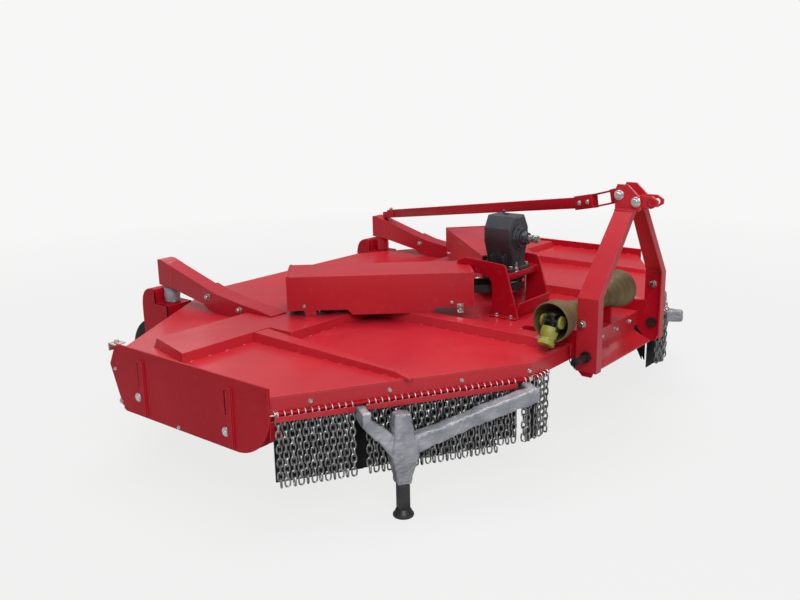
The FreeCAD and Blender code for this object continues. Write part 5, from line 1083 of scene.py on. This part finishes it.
# ---------------------------------------------------------------- stored driveshaft
# The driveshaft rides on a cradle between the A-frame's feet, inside a moulded
# guard of two ribbed cones on a tube. A yoke hangs out of its open left end.
olive_plastic = new_finish("olive_plastic", Specular_IOR_Level=0.4)
colour_from(olive_plastic, mix_tones(olive_plastic, grain(olive_plastic, 14.0, 5.0), (0.10, 0.066, 0.028),
                                     (0.19, 0.135, 0.055), 0.3, 0.72))
gloss_from(olive_plastic, grain(olive_plastic, 22.0, 4.0), 0.42, 0.62)
relief(olive_plastic, 0.001, (grain(olive_plastic, 120.0, 3.0), 0.0003))
coat(shaded_red_enamel, "driveshaft_cradle")
guard_y, guard_z = 0.024, 0.628
guard_left, guard_long = -0.462, 0.62
guard_way = Vector((guard_long, 0.0, 0.022)).normalized()
cone = [(0.0, 0.0815), (0.003, 0.084), (0.010, 0.084), (0.014, 0.080), (0.024, 0.080), (0.028, 0.0825),
        (0.040, 0.0825), (0.045, 0.077), (0.056, 0.076), (0.061, 0.0785), (0.070, 0.077), (0.076, 0.070),
        (0.088, 0.067), (0.093, 0.0695), (0.100, 0.066), (0.106, 0.060), (0.118, 0.0555), (0.124, 0.0575),
        (0.130, 0.053), (0.136, 0.048), (0.160, 0.045), (0.163, 0.0485), (0.176, 0.0485), (0.179, 0.039)]
inside = [(0.179, 0.0355), (0.150, 0.040), (0.110, 0.054), (0.070, 0.070), (0.030, 0.0765), (0.0, 0.0775)]
outer_path = cone + [(guard_long - z, r) for z, r in reversed(cone)]
inner_path = [(guard_long - z, r) for z, r in reversed(inside)] + inside
guard = bmesh.new()
turned_piece(guard, outer_path + inner_path, facing(at(guard_left, guard_y, guard_z), guard_way), 48)
settle("ribbed_guard", guard, olive_plastic, smooth=50.0, stands_for=("driveshaft_guard",))

green_plastic = new_finish("green_plastic")
colour_from(green_plastic, mix_tones(green_plastic, grain(green_plastic, 30.0, 4.0), (0.24, 0.24, 0.03),
                                     (0.42, 0.42, 0.08), 0.35, 0.7))
gloss_from(green_plastic, grain(green_plastic, 40.0, 3.0), 0.35, 0.55)
yoke_iron = grained("yoke_iron", (40.0, 5.0), ((0.3, (0.03, 0.03, 0.03)), (0.7, (0.12, 0.11, 0.1))),
                    (60.0, 3.0, 0.4, 0.6), (0.0015, 200.0, 3.0, 0.0003), Metallic=0.75)
yokes = bmesh.new()
collars = bmesh.new()
for start, way, droop in ((0.0, 1, 1.0), (guard_long, -1, 0.0)):
    cross = at(guard_left, guard_y, guard_z) + guard_way * (start + way * (0.018 if droop else 0.062))
    rod_piece(yokes, cross + Vector((way * 0.036, 0, 0)), cross + Vector((way * 0.12, 0, 0)), 0.027, 24)
    for up in (-1, 1):
        block(yokes, cross + Vector((way * 0.018, 0, up * 0.03)), (0.062, 0.034, 0.011), bevel=0.004)
    rod_piece(yokes, cross + Vector((0, 0, -0.037)), cross + Vector((0, 0, 0.037)), 0.0095, 16)
    rod_piece(yokes, cross + Vector((0, -0.037, 0)), cross + Vector((0, 0.037, 0)), 0.0095, 16)
    tip_way = Vector((-way * math.cos(droop), 0.0, -math.sin(droop)))
    tilt = Matrix.Rotation(-way * droop, 4, "Y")
    for aside in (-1, 1):
        block(yokes, cross + tip_way * 0.016 + Vector((0, aside * 0.031, 0)), (0.06, 0.011, 0.034), tilt, 0.004)
    if droop:
        turned_piece(collars, [(0.030, 0.0), (0.030, 0.035), (0.046, 0.036), (0.070, 0.033), (0.074, 0.029),
                               (0.084, 0.029), (0.087, 0.034), (0.102, 0.034), (0.104, 0.031), (0.104, 0.0175),
                               (0.06, 0.0175), (0.06, 0.0)], facing(cross, tip_way), 36)
        for aside in (-1, 1):
            turned_piece(collars, [(0.0, 0.0), (0.0, 0.027), (0.009, 0.025), (0.009, 0.0)],
                         facing(cross + Vector((0, aside * 0.037, 0)), (0, aside, 0)), 28)
settle("driveshaft_yokes", yokes, yoke_iron, stands_for=("driveshaft",))
settle("yoke_collar", collars, green_plastic)
bands = bmesh.new()
for x in (-0.115, 0.045):
    middle = at(guard_left, guard_y, guard_z) + guard_way * (x - guard_left)
    turned_piece(bands, [(-0.011, 0.0397), (-0.011, 0.0425), (0.011, 0.0425), (0.011, 0.0397)],
                 facing(middle, guard_way), 36)
settle("cradle_straps", bands, belt_rubber)
